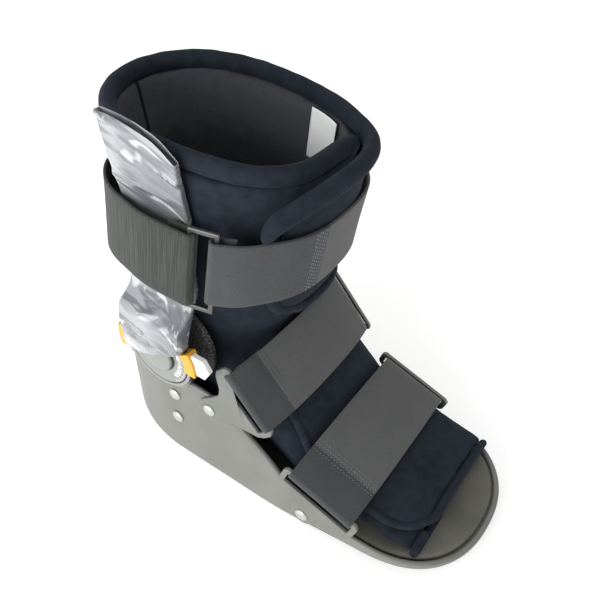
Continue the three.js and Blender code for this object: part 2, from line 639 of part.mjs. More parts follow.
function buildFilms() {
  const low = HINGE_HEIGHT - 10;
  const heights = rising([
    low, BEND_LEVEL - 12, BEND_LEVEL - 6, BEND_LEVEL, FILM_OPEN, BEND_LEVEL + 6, BEND_LEVEL + 10,
    BEND_LEVEL + 14, FILM_OPEN + FILM_DRAPE, BAND_LEVEL, BAND_HALFWAY, CALF_TOP, UPRIGHT_TOP,
    FILM_TOPS.left + 2,
  ]);
  const roomHeights = [low - 1, ...heights.slice(1, -1), FILM_TOPS.left + 3];
  const skin = solid(loft(heights.map((z) => filmRow(z, FILM_THICK))));
  const room = solid(loft(roomHeights.map((z) => filmRow(z, 0))));
  const aside = UPRIGHT_WIDTH + 2 * FILM_EASE + 8;
  const near = BAND_MIDDLE - 16;
  const far = CAP_OUTER + 16;
  const under = HINGE_HEIGHT - 20;
  const lowRoom = box(near, CAP_OUTER + GAP, -aside, aside, under, FILM_OPEN);
  const hemTop = HINGE_HEIGHT + FILM_EDGE[0][1];
  const hem = solid(across([
    flat(-aside, hemTop), flat(-aside, under), flat(aside, under), flat(aside, hemTop),
    ...FILM_EDGE.map(([y, rise]) => flat(y, HINGE_HEIGHT + rise)).reverse(),
  ], near, far));
  const bag = skin.subtract(room).subtract(lowRoom).subtract(hem);
  for (const side of SOLE_SIDES) {
    const top = FILM_TOPS[side];
    const above = top + 28;
    const cut = solid(across([
      flat(-aside, top - 30), flat(-aside, above), flat(aside, above), flat(aside, top + 1),
      ...FILM_CUT.map(([y, drop]) => flat(y, top + drop)).reverse(),
    ], near, far));
    const film = bag.subtract(cut);
    add(`film_sleeve_${side}`, side === "left" ? mirrored(film) : film, "#c9cbcb", 0.15);
  }
}

// Liner leg. Columns: share of the liner's height, of its half width, of its front, of its back.
const LEG_ROWS = [
  [0.08, 0.8, 0.55, 0.9], [0.11, 0.9, 0.6, 0.97], [0.162, 0.94, 0.62, 1.0], [0.304, 0.91, 0.62, 1.0],
  [0.445, 0.88, 0.64, 0.98], [0.518, 0.89, 0.7, 0.965], [0.587, 0.92, 0.78, 0.945], [0.68, 1.0, 0.873, 0.883],
  [0.866, 1.0, 0.985, 0.765], [1.0, 1.06, 1.03, 0.84],
];

// A point of the leg's outside: angle 0 is the front, and positive angles run round by the left.
function legPoint(row, angle, lift, level = row[0] * LINER_TOP) {
  const [share, wide, front, back] = row;
  const a = degrees(angle);
  const ahead = Math.cos(a) > 0;
  const reach = ahead ? LINER_FRONT * front : LINER_BACK * back;
  const exponent = ahead ? LEG_POWER.front : LEG_POWER.back;
  const x = -(LINER_HALF_WIDTH * wide + lift) * power(Math.sin(a), exponent);
  const y = -(reach + lift) * power(Math.cos(a), exponent);
  const tilt = RIM_SLOPE * (y + 15) * clamp01((share - RIM_START) / (1 - RIM_START));
  return new THREE.Vector3(x, y, level + tilt);
}

const legRing = (row, inset, steps, level) =>
  Array.from({ length: steps }, (_, i) => legPoint(row, (-360 * i) / steps, -inset, level));

function legRowAt(share) {
  return [share, lookup(LEG_ROWS, share, 1), lookup(LEG_ROWS, share, 2), lookup(LEG_ROWS, share, 3)];
}

// Liner foot. Columns: share of the foot's length, share of its height, share of its half width.
const FOOT_ROWS = [
  [-0.06, 0.96, 0.88], [0.31, 0.95, 0.88], [0.385, 0.8, 0.88], [0.44, 0.68, 0.9], [0.5, 0.56, 0.92],
  [0.555, 0.43, 0.95], [0.68, 0.385, 0.96], [0.82, 0.33, 0.96], [0.93, 0.285, 0.96], [1.0, 0.25, 0.95],
];

const CREST = -9;
function footRing(row, inset, lift, steps, fromAngle = 0, toAngle = 360) {
  const [along, high, wide] = row;
  const floor = LINER_FLOOR;
  const top = FOOT_HEIGHT * high;
  const middle = (floor + top) / 2;
  const closed = toAngle - fromAngle >= 360;
  const droop = 0.33 * smooth((along - 0.6) / 0.4);
  return Array.from({ length: steps }, (_, i) => {
    const angle = degrees(mix(fromAngle, toAngle, i / (closed ? steps : steps - 1)));
    const x = (FOOT_HALF_WIDTH * wide - inset + lift) * power(Math.cos(angle), FOOT_POWER);
    const half = Math.max(0.4, (top - floor) / 2 - inset);
    const rise = Math.sin(angle) > 0 ? lift : 0;
    const z = middle + (half + rise) * power(Math.sin(angle), FOOT_POWER);
    const away = Math.abs(x - CREST) / FOOT_HALF_WIDTH;
    const tilt = z > floor + inset ? -(z - floor) * droop * away : 0;
    return new THREE.Vector3(x, -along * FOOT_LENGTH, z + tilt);
  });
}

const LEG_STEPS = 40;
const FOOT_STEPS = 20;
function buildLiner() {
  const legOuter = solid(loft(LEG_ROWS.map((row) => legRing(row, 0, LEG_STEPS))));
  const innerRows = LEG_ROWS.slice(1);
  const legInner = solid(loft([
    legRing(innerRows[0], LINER_WALL, LEG_STEPS, LINER_FLOOR + LINER_WALL),
    ...innerRows.slice(1).map((row) => legRing(row, LINER_WALL, LEG_STEPS)),
    legRing(LEG_ROWS[LEG_ROWS.length - 1], LINER_WALL, LEG_STEPS, LINER_TOP + 20),
  ]));
  const footOuter = solid(loft(FOOT_ROWS.map((row) => footRing(row, 0, 0, FOOT_STEPS))));
  const toeOut = FOOT_ROWS[FOOT_ROWS.length - 1].slice();
  toeOut[0] += 0.05;
  const tunnelRows = [...FOOT_ROWS, toeOut];
  const footInner = solid(loft(tunnelRows.map((row) => footRing(row, LINER_WALL - 0.5, 0, FOOT_STEPS))));
  const frontOpen = box(-26, 42, -FOOT_LENGTH - 5, -92, LINER_FLOOR + LINER_WALL + 1, FOOT_HEIGHT);
  const body = legOuter.add(footOuter).subtract(legInner).subtract(footInner).subtract(frontOpen);
  add("liner_body", body, "#1d232b", 0.95);
}

// Foot flap: the right-hand panel laid over the left one. Columns: share of the foot's length,
// angle of its left edge, counted up from the right side over the top.
const FOOT_FLAP_ROWS = [
  [0.36, 128], [0.44, 130], [0.5, 132], [0.6, 136], [0.7, 139], [0.82, 140], [0.9, 136], [0.96, 126],
  [1.0, 112],
];

const FOOT_FLAP_RIGHT = -20;

// The first-column values of two tables inside the reach of the first, in rising order.
function sharedRows(own, other) {
  const last = own[own.length - 1][0];
  const within = other.map((row) => row[0]).filter((value) => value > own[0][0] && value < last);
  return [...new Set([...own.map((row) => row[0]), ...within])].sort((a, b) => a - b);
}

function footRowAt(along) {
  return [along, lookup(FOOT_ROWS, along, 1), lookup(FOOT_ROWS, along, 2)];
}

function buildFootFlap() {
  const grid = (lift) => sharedRows(FOOT_FLAP_ROWS, FOOT_ROWS).map((along) =>
    footRing(footRowAt(along), 0, lift, 13, FOOT_FLAP_RIGHT, lookup(FOOT_FLAP_ROWS, along, 1)));
  add("foot_flap", sheet(grid(FLAP_EASE), grid(FLAP_EASE + FLAP_THICK)), "#20272f", 0.95);
}

// Shin flap over the front of the leg. Columns: share of the liner's height, angle of its left edge.
const SHIN_FLAP_ROWS = [
  [0.612, 14], [0.628, 25], [0.65, 31], [0.7, 35], [0.8, 37], [0.9, 35], [0.93, 32], [0.955, 26],
  [0.972, 16],
];
const SHIN_FLAP_RIGHT = -52;

function buildShinFlap() {
  const grid = (lift) => sharedRows(SHIN_FLAP_ROWS, LEG_ROWS).map((share) => {
    const edge = lookup(SHIN_FLAP_ROWS, share, 1);
    const row = legRowAt(share);
    return Array.from({ length: 12 }, (_, i) => legPoint(row, mix(SHIN_FLAP_RIGHT, edge, i / 11), lift));
  });
  add("shin_flap", sheet(grid(FLAP_EASE), grid(FLAP_EASE + FLAP_THICK)), "#20272f", 0.95);
}

// Rim binding: a rolled cloth edge from the tucked-in end of the left panel round the rim,
// then out over it and down the flap's curved edge. Columns: angle, lift off the rim, drop below it.
const BINDING_ROWS = [
  [-24, -17, 0], [-10, -13, 0], [6, -7, 0], [24, -4, 0], [45, -3, 0], [70, -4.5, 0], [90, -4.5, 0],
  [110, -4.5, 0], [135, -3, 0], [160, -3, 0], [180, -3, 0], [200, -3, 0], [225, -3, 0], [250, -4.5, 0],
  [270, -4.5, 0], [290, -4, 0], [310, -1, 0], [330, 4, 0], [345, 8, 0], [360, 9.5, -1], [372, 9.5, -3], [384, 9, -8],
  [394, 8.5, -15], [400.5, 8, -22],
];

function buildBinding() {
  const points = BINDING_ROWS.map(([angle, lift, drop]) => {
    const point = legPoint(LEG_ROWS[LEG_ROWS.length - 1], angle, lift);
    point.z += BINDING_RADIUS + 3 * GAP + drop;
    return point;
  });
  const path = new THREE.CatmullRomCurve3(points, false, "centripetal");
  const shape = new THREE.Shape(circle(0, 0, BINDING_RADIUS, 8));
  const roll = new THREE.ExtrudeGeometry(shape, { steps: 46, extrudePath: path, bevelEnabled: false });
  add("rim_binding", solid(roll), "#222a33", 0.95);
}

// Calf strap: a wide rear band and a narrower front band, each looped round one bar of a plastic ring.
// Its plan is drawn at the band's lower level and leans with the leg.
function calfPoint(angle, lift) {
  const a = degrees(angle);
  const depth = Math.cos(a) > 0 ? CALF_FRONT_DEPTH : CALF_BACK_DEPTH;
  return flat(-(CALF_HALF_WIDTH + lift) * power(Math.sin(a), CALF_POWER),
    -(depth + lift) * power(Math.cos(a), CALF_POWER));
}

function calfPrism(outline, bottom, top, holes = []) {
  const shape = new THREE.Shape(outline);
  for (const hole of holes) shape.holes.push(new THREE.Path(hole));
  const depth = top - bottom;
  return solid(new THREE.ExtrudeGeometry(shape, { depth, bevelEnabled: false }).translate(0, 0, bottom));
}

const leaned = (shape) => shape.warp((v) => {
  v[1] += mix(CALF_CENTRE_LOW, CALF_CENTRE_HIGH, (v[2] - BAND_LEVEL) / CALF_REAR_WIDTH);
});

const RING_ANGLE = 72;
const RING_HALF_ANGLE = 4.6;
const RING_STAND = 0.8;
const STRAP_SEAM = -100;
const SEAM_TURN = 359;
function buildCalfStrap() {
  const loopInner = Math.hypot(RING_BAR, RING_DEPTH) / 2 + GAP;
  const loopOuter = loopInner + STRAP_THICK;
  const wide = calfPoint(RING_ANGLE - 3, 0).sub(calfPoint(RING_ANGLE + 3, 0)).normalize();
  const inward = flat(-wide.y, wide.x);
  const centre = calfPoint(RING_ANGLE, -STRAP_THICK / 2).addScaledVector(inward, -RING_STAND);
  const inRing = (across, deep) => centre.clone().addScaledVector(wide, across).addScaledVector(inward, deep);
  const barAt = (RING_WIDTH - RING_BAR) / 2;
  const frontTop = CALF_TOP - 1;
  const bands = [
    {
      name: "calf_strap_front", from: STRAP_SEAM, to: RING_ANGLE - RING_HALF_ANGLE,
      bottom: frontTop - CALF_FRONT_WIDTH, top: frontTop, bar: barAt,
    },
    {
      name: "calf_strap_rear", from: RING_ANGLE + RING_HALF_ANGLE, to: STRAP_SEAM + SEAM_TURN,
      bottom: BAND_LEVEL, top: CALF_TOP, bar: -barAt,
    },
  ];
  for (const { name, from, to, bottom, top, bar } of bands) {
    const steps = 30;
    const angleAt = (i) => mix(from, to, i / (steps - 1));
    const row = (lift) => Array.from({ length: steps }, (_, i) => calfPoint(angleAt(i), lift));
    const middle = inRing(bar, 0);
    const strap = calfPrism([...row(0), ...row(-STRAP_THICK).reverse()], bottom, top)
      .add(calfPrism(circle(middle.x, middle.y, loopOuter, 14), bottom, top))
      .subtract(calfPrism(circle(middle.x, middle.y, loopInner, 14), bottom - 1, top + 1));
    add(name, leaned(strap), name.endsWith("rear") ? "#6a6b68" : "#55565a", 0.9);
  }
  const frame = (half) => [
    inRing(-half, -RING_DEPTH / 2), inRing(half, -RING_DEPTH / 2), inRing(half, RING_DEPTH / 2),
    inRing(-half, RING_DEPTH / 2),
  ];
  const openHalf = RING_WIDTH / 2 - RING_BAR;
  const opening = [inRing(-openHalf, -4), inRing(openHalf, -4), inRing(openHalf, 4), inRing(-openHalf, 4)];
  const ring = calfPrism(frame(RING_WIDTH / 2), BAND_LEVEL - GAP - RING_BAR, CALF_TOP + GAP + RING_BAR)
    .subtract(calfPrism(opening, BAND_LEVEL - GAP, CALF_TOP + GAP));
  add("calf_ring", leaned(ring), "#3b3c3e", 0.5);
}

// Label: a small cloth tag on the inside of the right wall, with nothing on it.
const LABEL_FROM = -42;
const LABEL_TO = -66;
function buildLabel() {
  const top = LINER_TOP - 3;
  const grid = (lift) => [top - LABEL_HEIGHT, top - LABEL_HEIGHT / 2, top].map((level) =>
    Array.from({ length: 8 }, (_, i) =>
      legPoint(legRowAt(level / LINER_TOP), mix(LABEL_FROM, LABEL_TO, i / 7), -LINER_WALL - lift)));
  add("size_label", sheet(grid(2 * GAP), grid(2 * GAP + LABEL_THICK)), "#f2f2ef", 0.7);
}

buildShell();
buildInsole();
buildRivets();
buildTabs();
buildFootStraps();
buildHinges();
buildStops();
buildUprights();
buildFilms();
buildLiner();
buildFootFlap();
buildShinFlap();
buildBinding();
buildCalfStrap();
buildLabel();

export default model;
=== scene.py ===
"""An ankle walking boot: rocker base, padded liner, hinged uprights in film sleeves, three straps.

Sizes are in millimetres and become metres as each point is placed. X runs across, the toe points
to -Y, +Z is up, and the floor is under the hinge line at the origin.
"""

import json
import math

import bmesh
import bpy
from mathutils import Matrix, Vector, noise

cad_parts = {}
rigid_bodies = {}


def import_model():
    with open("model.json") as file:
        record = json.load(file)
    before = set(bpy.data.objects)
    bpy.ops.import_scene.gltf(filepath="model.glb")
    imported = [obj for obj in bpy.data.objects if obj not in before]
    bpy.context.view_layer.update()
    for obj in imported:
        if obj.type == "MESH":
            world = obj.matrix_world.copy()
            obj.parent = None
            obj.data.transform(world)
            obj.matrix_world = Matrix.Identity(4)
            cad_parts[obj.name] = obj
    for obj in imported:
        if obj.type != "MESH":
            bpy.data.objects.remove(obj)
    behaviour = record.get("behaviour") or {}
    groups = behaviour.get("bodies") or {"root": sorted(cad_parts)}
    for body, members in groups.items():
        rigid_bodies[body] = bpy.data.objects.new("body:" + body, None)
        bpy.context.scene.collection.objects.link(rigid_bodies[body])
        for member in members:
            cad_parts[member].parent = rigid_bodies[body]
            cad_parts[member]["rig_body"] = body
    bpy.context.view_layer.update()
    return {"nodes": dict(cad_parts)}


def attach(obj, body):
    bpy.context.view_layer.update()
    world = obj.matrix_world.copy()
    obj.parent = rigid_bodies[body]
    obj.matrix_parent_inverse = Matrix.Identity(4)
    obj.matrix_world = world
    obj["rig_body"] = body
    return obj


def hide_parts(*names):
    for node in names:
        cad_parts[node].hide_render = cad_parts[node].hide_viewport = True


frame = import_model()


# Studio: a pale floor under even daylight, a broad lamp from the boot's left, and the camera high on
# the front left, where the whole boot shows.
AZIMUTH, ELEVATION, ROLL = math.radians(-56.33), math.radians(42.63), math.radians(1.64)
CAMERA_PLACE = (-0.26212, -0.24003, 0.42019)

backward = Vector((math.sin(AZIMUTH) * math.cos(ELEVATION), -math.cos(AZIMUTH) * math.cos(ELEVATION),
                   math.sin(ELEVATION)))
level_right = Vector((math.cos(AZIMUTH), math.sin(AZIMUTH), 0))
level_up = backward.cross(level_right)
camera_right = level_right * math.cos(ROLL) + level_up * math.sin(ROLL)
camera_up = level_up * math.cos(ROLL) - level_right * math.sin(ROLL)
lens = bpy.data.cameras.new("camera")
lens.lens = 40.6
lens.sensor_width = 36
lens.shift_x = -0.0124
lens.shift_y = 0.0153
lens.clip_start = 0.01
camera = bpy.data.objects.new("camera", lens)
camera.matrix_world = Matrix.Translation(CAMERA_PLACE) @ Matrix(
    (camera_right, camera_up, backward)).transposed().to_4x4()
bpy.context.scene.collection.objects.link(camera)
bpy.context.scene.camera = camera
bpy.context.scene.view_settings.view_transform = "Standard"

world = bpy.data.worlds.new("daylight")
world.use_nodes = True
world.node_tree.nodes["Background"].inputs["Color"].default_value = (1, 1, 1, 1)
world.node_tree.nodes["Background"].inputs["Strength"].default_value = 0.72
bpy.context.scene.world = world


def lamp(name, place, aim, size, power):
    """A square area lamp at a place, turned to face another, both in metres."""
    light = bpy.data.lights.new(name, "AREA")
    light.size = size
    light.energy = power
    made = bpy.data.objects.new(name, light)
    towards = Vector(aim) - Vector(place)
    made.matrix_world = Matrix.Translation(place) @ towards.to_track_quat("-Z", "Y").to_matrix().to_4x4()
    bpy.context.scene.collection.objects.link(made)


lamp("window", (-1.25, 0.2, 0.45), (0, -0.05, 0.1), 1.0, 19)
lamp("ceiling", (0.3, -0.4, 1.3), (0, -0.06, 0.1), 1.0, 1.5)

floor_mesh = bmesh.new()
bmesh.ops.create_grid(floor_mesh, x_segments=2, y_segments=2, size=4)
floor_data = bpy.data.meshes.new("floor")
floor_mesh.to_mesh(floor_data)
floor_mesh.free()
floor = bpy.data.objects.new("floor", floor_data)
bpy.context.scene.collection.objects.link(floor)
floor_paint = bpy.data.materials.new("floor_paint")
floor_paint.use_nodes = True
floor_shader = floor_paint.node_tree.nodes["Principled BSDF"]
floor_shader.inputs["Base Color"].default_value = (0.96, 0.96, 0.955, 1)
floor_shader.inputs["Roughness"].default_value = 0.9
floor_shader.inputs["Emission Color"].default_value = (1, 1, 1, 1)
floor_shader.inputs["Emission Strength"].default_value = 0.3
floor_data.materials.append(floor_paint)


# Base shell: one moulding of light grey plastic with a rocker underside, side walls that step down
# to a low toe rim, and a 3.5 mm wall all round.
MM = 0.001
TOE_REACH, TOE_ROUND, TOE_POWER = 213, 63, 2.3
HEEL_REACH, HALF_WIDTH = 84, 63
FLOOR_TOP, WALL_DRAFT = 15.2, 0.0003
# The rocker's rise at each end, where it starts from the hinge line, and over what length it comes.
TOE_SPRING, TOE_SPRING_START, TOE_SPRING_RUN = 13, 72, 103
HEEL_SPRING, HEEL_SPRING_START, HEEL_SPRING_RUN = 5, 45, 39
LIP_HEIGHT = 1.4
# Shares of the plan outline's run at which the toe, the right wall and the heel end.
TOE_END, RIGHT_END, HEEL_END = 0.36, 0.5, 0.86
# A moulded crease runs up each side wall in front of the hinge.
CREASE_PLACE, CREASE_WIDTH, CREASE_RISE = -21.6, 1.7, 0.5
# The wall's top edge from toe to heel. Columns: place along the boot, height.
TOP_EDGE = [
    (-217.3, 17.6), (-185.3, 20.0), (-157.6, 21.0), (-123.5, 22.1), (-102.2, 29.9), (-89.5, 41.0),
    (-76.7, 52.5), (-54.3, 68.9), (-42.6, 77.9), (-29.8, 81.2), (0, 82), (42.6, 82), (87.3, 82),
]
# The shell's section from the middle of the underside out and up, over the lip and in again.
# Columns: inset from the outline, the level it is measured from, share of the way or distance.
SHELL_SECTION = [
    (63, "under", 0), (42, "under", 0), (20, "under", 0), (7, "under", 0), (2.6, "under", 0.2),
    (0.9, "under", 0.9), (0.1, "under", 2.2), *[(0, "outside", share / 14) for share in range(15)],
    (0.4, "lip", 0.35), (1.1, "lip", 0.05), (1.9, "lip", 0), (2.6, "lip", 0.08), (3.2, "lip", 0.4),
    *[(3.5, "inside", share / 9) for share in range(10)],
    (4.2, "floor", 0.5), (5.4, "floor", 0), (30, "floor", 0), (63, "floor", 0),
]


def smooth(share):
    """An eased step from 0 to 1."""
    share = min(1, max(0, share))
    return share * share * (3 - 2 * share)


def mix(first, second, share):
    return first + (second - first) * share


def power(value, exponent):
    """The signed root that squares off a circle into a rounded box."""
    return math.copysign(abs(value) ** (2 / exponent), value)


def along(rows, at, column=1):
    """A soft curve through a table with a rising first column, read at any value."""
    if at <= rows[0][0]:
        return rows[0][column]
    if at >= rows[-1][0]:
        return rows[-1][column]
    high = next(i for i, row in enumerate(rows) if row[0] >= at)
    spots = [rows[max(0, min(len(rows) - 1, high + step))] for step in (-2, -1, 0, 1)]
    span = spots[2][0] - spots[1][0]
    share = (at - spots[1][0]) / span
    slopes = [(spots[i + 1][column] - spots[i - 1][column]) / (spots[i + 1][0] - spots[i - 1][0]) * span
              for i in (1, 2)]
    square, cube = share ** 2, share ** 3
    return ((2 * cube - 3 * square + 1) * spots[1][column] + (cube - 2 * square + share) * slopes[0]
            + (3 * square - 2 * cube) * spots[2][column] + (cube - square) * slopes[1])


def skin(name, columns, rows, place, thick=0.0):
    """A grid with its points moved to place(across, along) in mm, its seams welded, and a wall if asked."""
    grid = bmesh.new()
    cloth = grid.loops.layers.uv.new("cloth")
    bmesh.ops.create_grid(grid, x_segments=columns, y_segments=rows, size=0.5)
    for face in grid.faces:
        for loop in face.loops:
            loop[cloth].uv = (loop.vert.co.x + 0.5, loop.vert.co.y + 0.5)
    for point in grid.verts:
        point.co = Vector(place(point.co.x + 0.5, point.co.y + 0.5)) * MM
    bmesh.ops.remove_doubles(grid, verts=grid.verts, dist=2e-6)
    bmesh.ops.recalc_face_normals(grid, faces=grid.faces)
    piece = put(name, grid)
    if thick:
        wall = piece.modifiers.new("thickness", "SOLIDIFY")
        wall.thickness = thick * MM
        wall.offset = 0
    return piece


def put(name, grid):
    """A bmesh as an object at the origin, softly shaded up to edges that turn by more than 42 degrees."""
    mesh = bpy.data.meshes.new(name)
    grid.to_mesh(mesh)
    grid.free()
    mesh.shade_smooth()
    mesh.set_sharp_from_angle(angle=math.radians(42))
    made = bpy.data.objects.new(name, mesh)
    bpy.context.scene.collection.objects.link(made)
    return made


def linear(red, green, blue):
    """A colour as a paint chart gives it, 0 to 255, in the shader's own scale."""
    return tuple(((value / 255 + 0.055) / 1.055) ** 2.4 for value in (red, green, blue)) + (1,)


class Socket:
    """An output of a shader node. Sums, products and powers of sockets add Math nodes."""

    def __init__(self, tree, output):
        self.tree = tree
        self.output = output

    def node(self, kind, settings, values, output=0):
        made = self.tree.nodes.new(kind)
        for name, value in settings.items():
            setattr(made, name, value)
        for name, value in values.items():
            if isinstance(value, Socket):
                self.tree.links.new(value.output, made.inputs[name])
            else:
                made.inputs[name].default_value = value
        return Socket(self.tree, made.outputs[output])

    def maths(self, operation, first, second=0.0):
        return self.node("ShaderNodeMath", {"operation": operation}, {0: first, 1: second})

    def __add__(self, other):
        return self.maths("ADD", self, other)

    def __sub__(self, other):
        return self.maths("SUBTRACT", self, other)

    def __rsub__(self, other):
        return self.maths("SUBTRACT", other, self)

    def __mul__(self, other):
        return self.maths("MULTIPLY", self, other)

    def __abs__(self):
        return self.maths("ABSOLUTE", self)

    def __pow__(self, other):
        return self.maths("POWER", self, other)

    __radd__ = __add__
    __rmul__ = __mul__


class Finish:
    """A material on its way: its coordinates, its patterns, and the shader that they feed."""

    def __init__(self, name, coordinates="Object", **constants):
        self.material = bpy.data.materials.new(name)
        self.material.use_nodes = True
        self.tree = self.material.node_tree
        self.shader = self.tree.nodes["Principled BSDF"]
        for label, value in constants.items():
            self.shader.inputs[label.replace("_", " ")].default_value = value
        start = Socket(self.tree, None)
        if coordinates == "Object":
            self.at = start.node("ShaderNodeTexCoord", {}, {}, "Object")
        else:
            self.at = start.node("ShaderNodeUVMap", {"uv_map": coordinates}, {})

    def stretched(self, lengths, turn=0.0):
        """The coordinates for a pattern drawn out along the axes, then turned about X."""
        return self.at.node("ShaderNodeMapping", {"vector_type": "TEXTURE"}, {
            "Vector": self.at, "Rotation": (turn, 0, 0), "Scale": lengths})

    def cloud(self, scale, detail=3.0, at=None, roughness=0.5, distortion=0.0):
        """Soft blotches from 0 to 1, so many to the metre."""
        return self.at.node("ShaderNodeTexNoise", {}, {
            "Vector": at or self.at, "Scale": scale, "Detail": detail, "Roughness": roughness,
            "Distortion": distortion})

    def cells(self, scale, at=None):
        """Distance from the middle of the nearest grain or loop."""
        return self.at.node("ShaderNodeTexVoronoi", {}, {"Vector": at or self.at, "Scale": scale})

    def axis(self, name, at=None):
        """One coordinate of the pattern's place."""
        return self.at.node("ShaderNodeSeparateXYZ", {}, {"Vector": at or self.at}, name)

    def band(self, value, low, high):
        """0 below one value, 1 above the other, eased between."""
        return self.at.node("ShaderNodeMapRange", {"interpolation_type": "SMOOTHSTEP"},
                            {0: value, 1: low, 2: high, 3: 0.0, 4: 1.0})

    def blend(self, share, first, second):
        """Two colours mixed by a share."""
        return self.at.node("ShaderNodeMix", {"data_type": "RGBA"}, {0: share, 6: first, 7: second}, 2)

    def feed(self, label, value):
        self.tree.links.new(value.output, self.shader.inputs[label])

    def relief(self, *layers):
        """Bumps laid over each other. Each layer is a height from 0 to 1 and its depth in mm."""
        normal = None
        for height, depth in layers:
            values = {"Height": height, "Distance": depth * MM, "Strength": 1.0}
            if normal:
                values["Normal"] = normal
            normal = self.at.node("ShaderNodeBump", {}, values)
        self.feed("Normal", normal)

    def on(self, *pieces):
        for piece in pieces:
            piece.data.materials.clear()
            piece.data.materials.append(self.material)


def outline(share, inset):
    """A point of the shell's plan outline, once round from the toe's left corner by the right side."""
    if share <= TOE_END:
        turn = math.radians(mix(-90, 90, share / TOE_END))
        return ((HALF_WIDTH - inset) * power(math.sin(turn), TOE_POWER),
                TOE_ROUND - TOE_REACH - (TOE_ROUND - inset) * power(math.cos(turn), TOE_POWER))
    if share <= RIGHT_END:
        return HALF_WIDTH - inset, mix(TOE_ROUND - TOE_REACH, 0, (share - TOE_END) / (RIGHT_END - TOE_END))
    if share <= HEEL_END:
        turn = math.radians(mix(90, -90, (share - RIGHT_END) / (HEEL_END - RIGHT_END)))
        return (HALF_WIDTH - inset) * math.sin(turn), (HEEL_REACH - inset) * math.cos(turn)
    return inset - HALF_WIDTH, mix(0, TOE_ROUND - TOE_REACH, (share - HEEL_END) / (1 - HEEL_END))


def underside(y):
    """The rocker: flat under the middle, rising to the toe and, less, to the heel."""
    if y < 0:
        return TOE_SPRING * smooth((-y - TOE_SPRING_START) / TOE_SPRING_RUN)
    return HEEL_SPRING * min(1, max(0, (y - HEEL_SPRING_START) / HEEL_SPRING_RUN)) ** 2


def shell_point(share, step):
    inset, level, amount = SHELL_SECTION[round(step * (len(SHELL_SECTION) - 1))]
    x, y = outline(share, inset)
    low, top = underside(y), along(TOP_EDGE, y)
    lip = min(LIP_HEIGHT, 0.3 * (top - FLOOR_TOP))
    heights = {
        "under": low + amount, "outside": mix(low + 3, top - lip, amount), "lip": top - lip * amount,
        "inside": mix(top - lip, FLOOR_TOP + lip, amount), "floor": FLOOR_TOP + lip * amount,
    }
    z = heights[level]
    if level == "outside" and -60 < y < 0:
        crease = math.exp(-((y - CREASE_PLACE) / CREASE_WIDTH) ** 2)
        crease *= smooth((z - 4) / 8) * smooth((80 - z) / 6)
        x += math.copysign(CREASE_RISE * crease, x)
    return x * (1 - WALL_DRAFT * z), y, z


shell = skin("shell_moulding", 220, len(SHELL_SECTION) - 1, shell_point)
shell_paint = Finish("shell_plastic", Specular_IOR_Level=0.42)
wear = shell_paint.cloud(38, 4)
grain = shell_paint.cloud(2600, 2)
scuffs = shell_paint.cloud(90, 5, shell_paint.stretched((1, 1, 0.2)), 0.7)
shell_paint.feed("Base Color", shell_paint.blend(
    shell_paint.band(wear, 0.3, 0.7), linear(103, 104, 99), linear(112, 113, 108)))
shell_paint.feed("Roughness", 0.36 + 0.12 * wear + 0.1 * shell_paint.band(scuffs, 0.55, 0.75))
shell_paint.relief((grain, 0.05), (wear, 0.25))
shell_paint.on(shell)
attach(shell, "boot")
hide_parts("base_shell")


# Footbed: a foam pad with a leathery olive-grey face that drops into the shell, with a soft raised
# border.
# Columns: inset from the shell's outline, height.
PAD_SECTION = [
    (63, 15.5), (30, 15.5), (5.4, 15.5), (5.2, 16), (5.2, 18.2), (5.5, 18.9), (6.3, 19.25), (8, 19.3),
    (10.5, 19.0), (14, 18.6), (22, 18.5), (40, 18.5), (63, 18.5),
]


def footbed_point(share, step):
    inset, z = PAD_SECTION[round(step * (len(PAD_SECTION) - 1))]
    x, y = outline(share, inset)
    return x * (1 - WALL_DRAFT * z), y, z


footbed = skin("footbed_pad", 160, len(PAD_SECTION) - 1, footbed_point)
footbed_paint = Finish("footbed_foam", Specular_IOR_Level=0.3)
patches = footbed_paint.cloud(30, 3)
pores = footbed_paint.cells(1500)
footbed_paint.feed("Base Color", footbed_paint.blend(
    footbed_paint.band(patches, 0.3, 0.7), linear(81, 81, 74), linear(98, 97, 90)))
footbed_paint.feed("Roughness", 0.5 + 0.2 * patches)
footbed_paint.relief((pores, 0.08), (patches, 0.5))
footbed_paint.on(footbed)
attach(footbed, "boot")
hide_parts("insole")


# Strap tabs: four thin plastic leaves riveted to the wall, each with a long slot whose free bar
# carries a strap end. Their corners are softened all round.
def rounded(piece, edge, segments, sharper_than):
    """Rounds the corners that turn by more than an angle in degrees."""
    corner = piece.modifiers.new("corner", "BEVEL")
    corner.width = edge * MM
    corner.segments = segments
    corner.limit_method = "ANGLE"
    corner.angle_limit = math.radians(sharper_than)


def softened(node, edge, paint, widen=None):
    """A welded copy of a CAD node with its sharp corners rounded, in place of the node."""
    copy = bmesh.new()
    copy.from_mesh(frame["nodes"][node].data)
    bmesh.ops.remove_doubles(copy, verts=copy.verts, dist=1e-5)
    bmesh.ops.dissolve_limit(copy, angle_limit=math.radians(1), verts=copy.verts, edges=copy.edges)
    if widen:
        widen(copy)
    piece = put(node + ".finished", copy)
    rounded(piece, edge, 3, 38)
    paint.on(piece)
    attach(piece, frame["nodes"][node]["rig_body"])
    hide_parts(node)
    return piece


SIDES = {"left": -1, "right": 1}
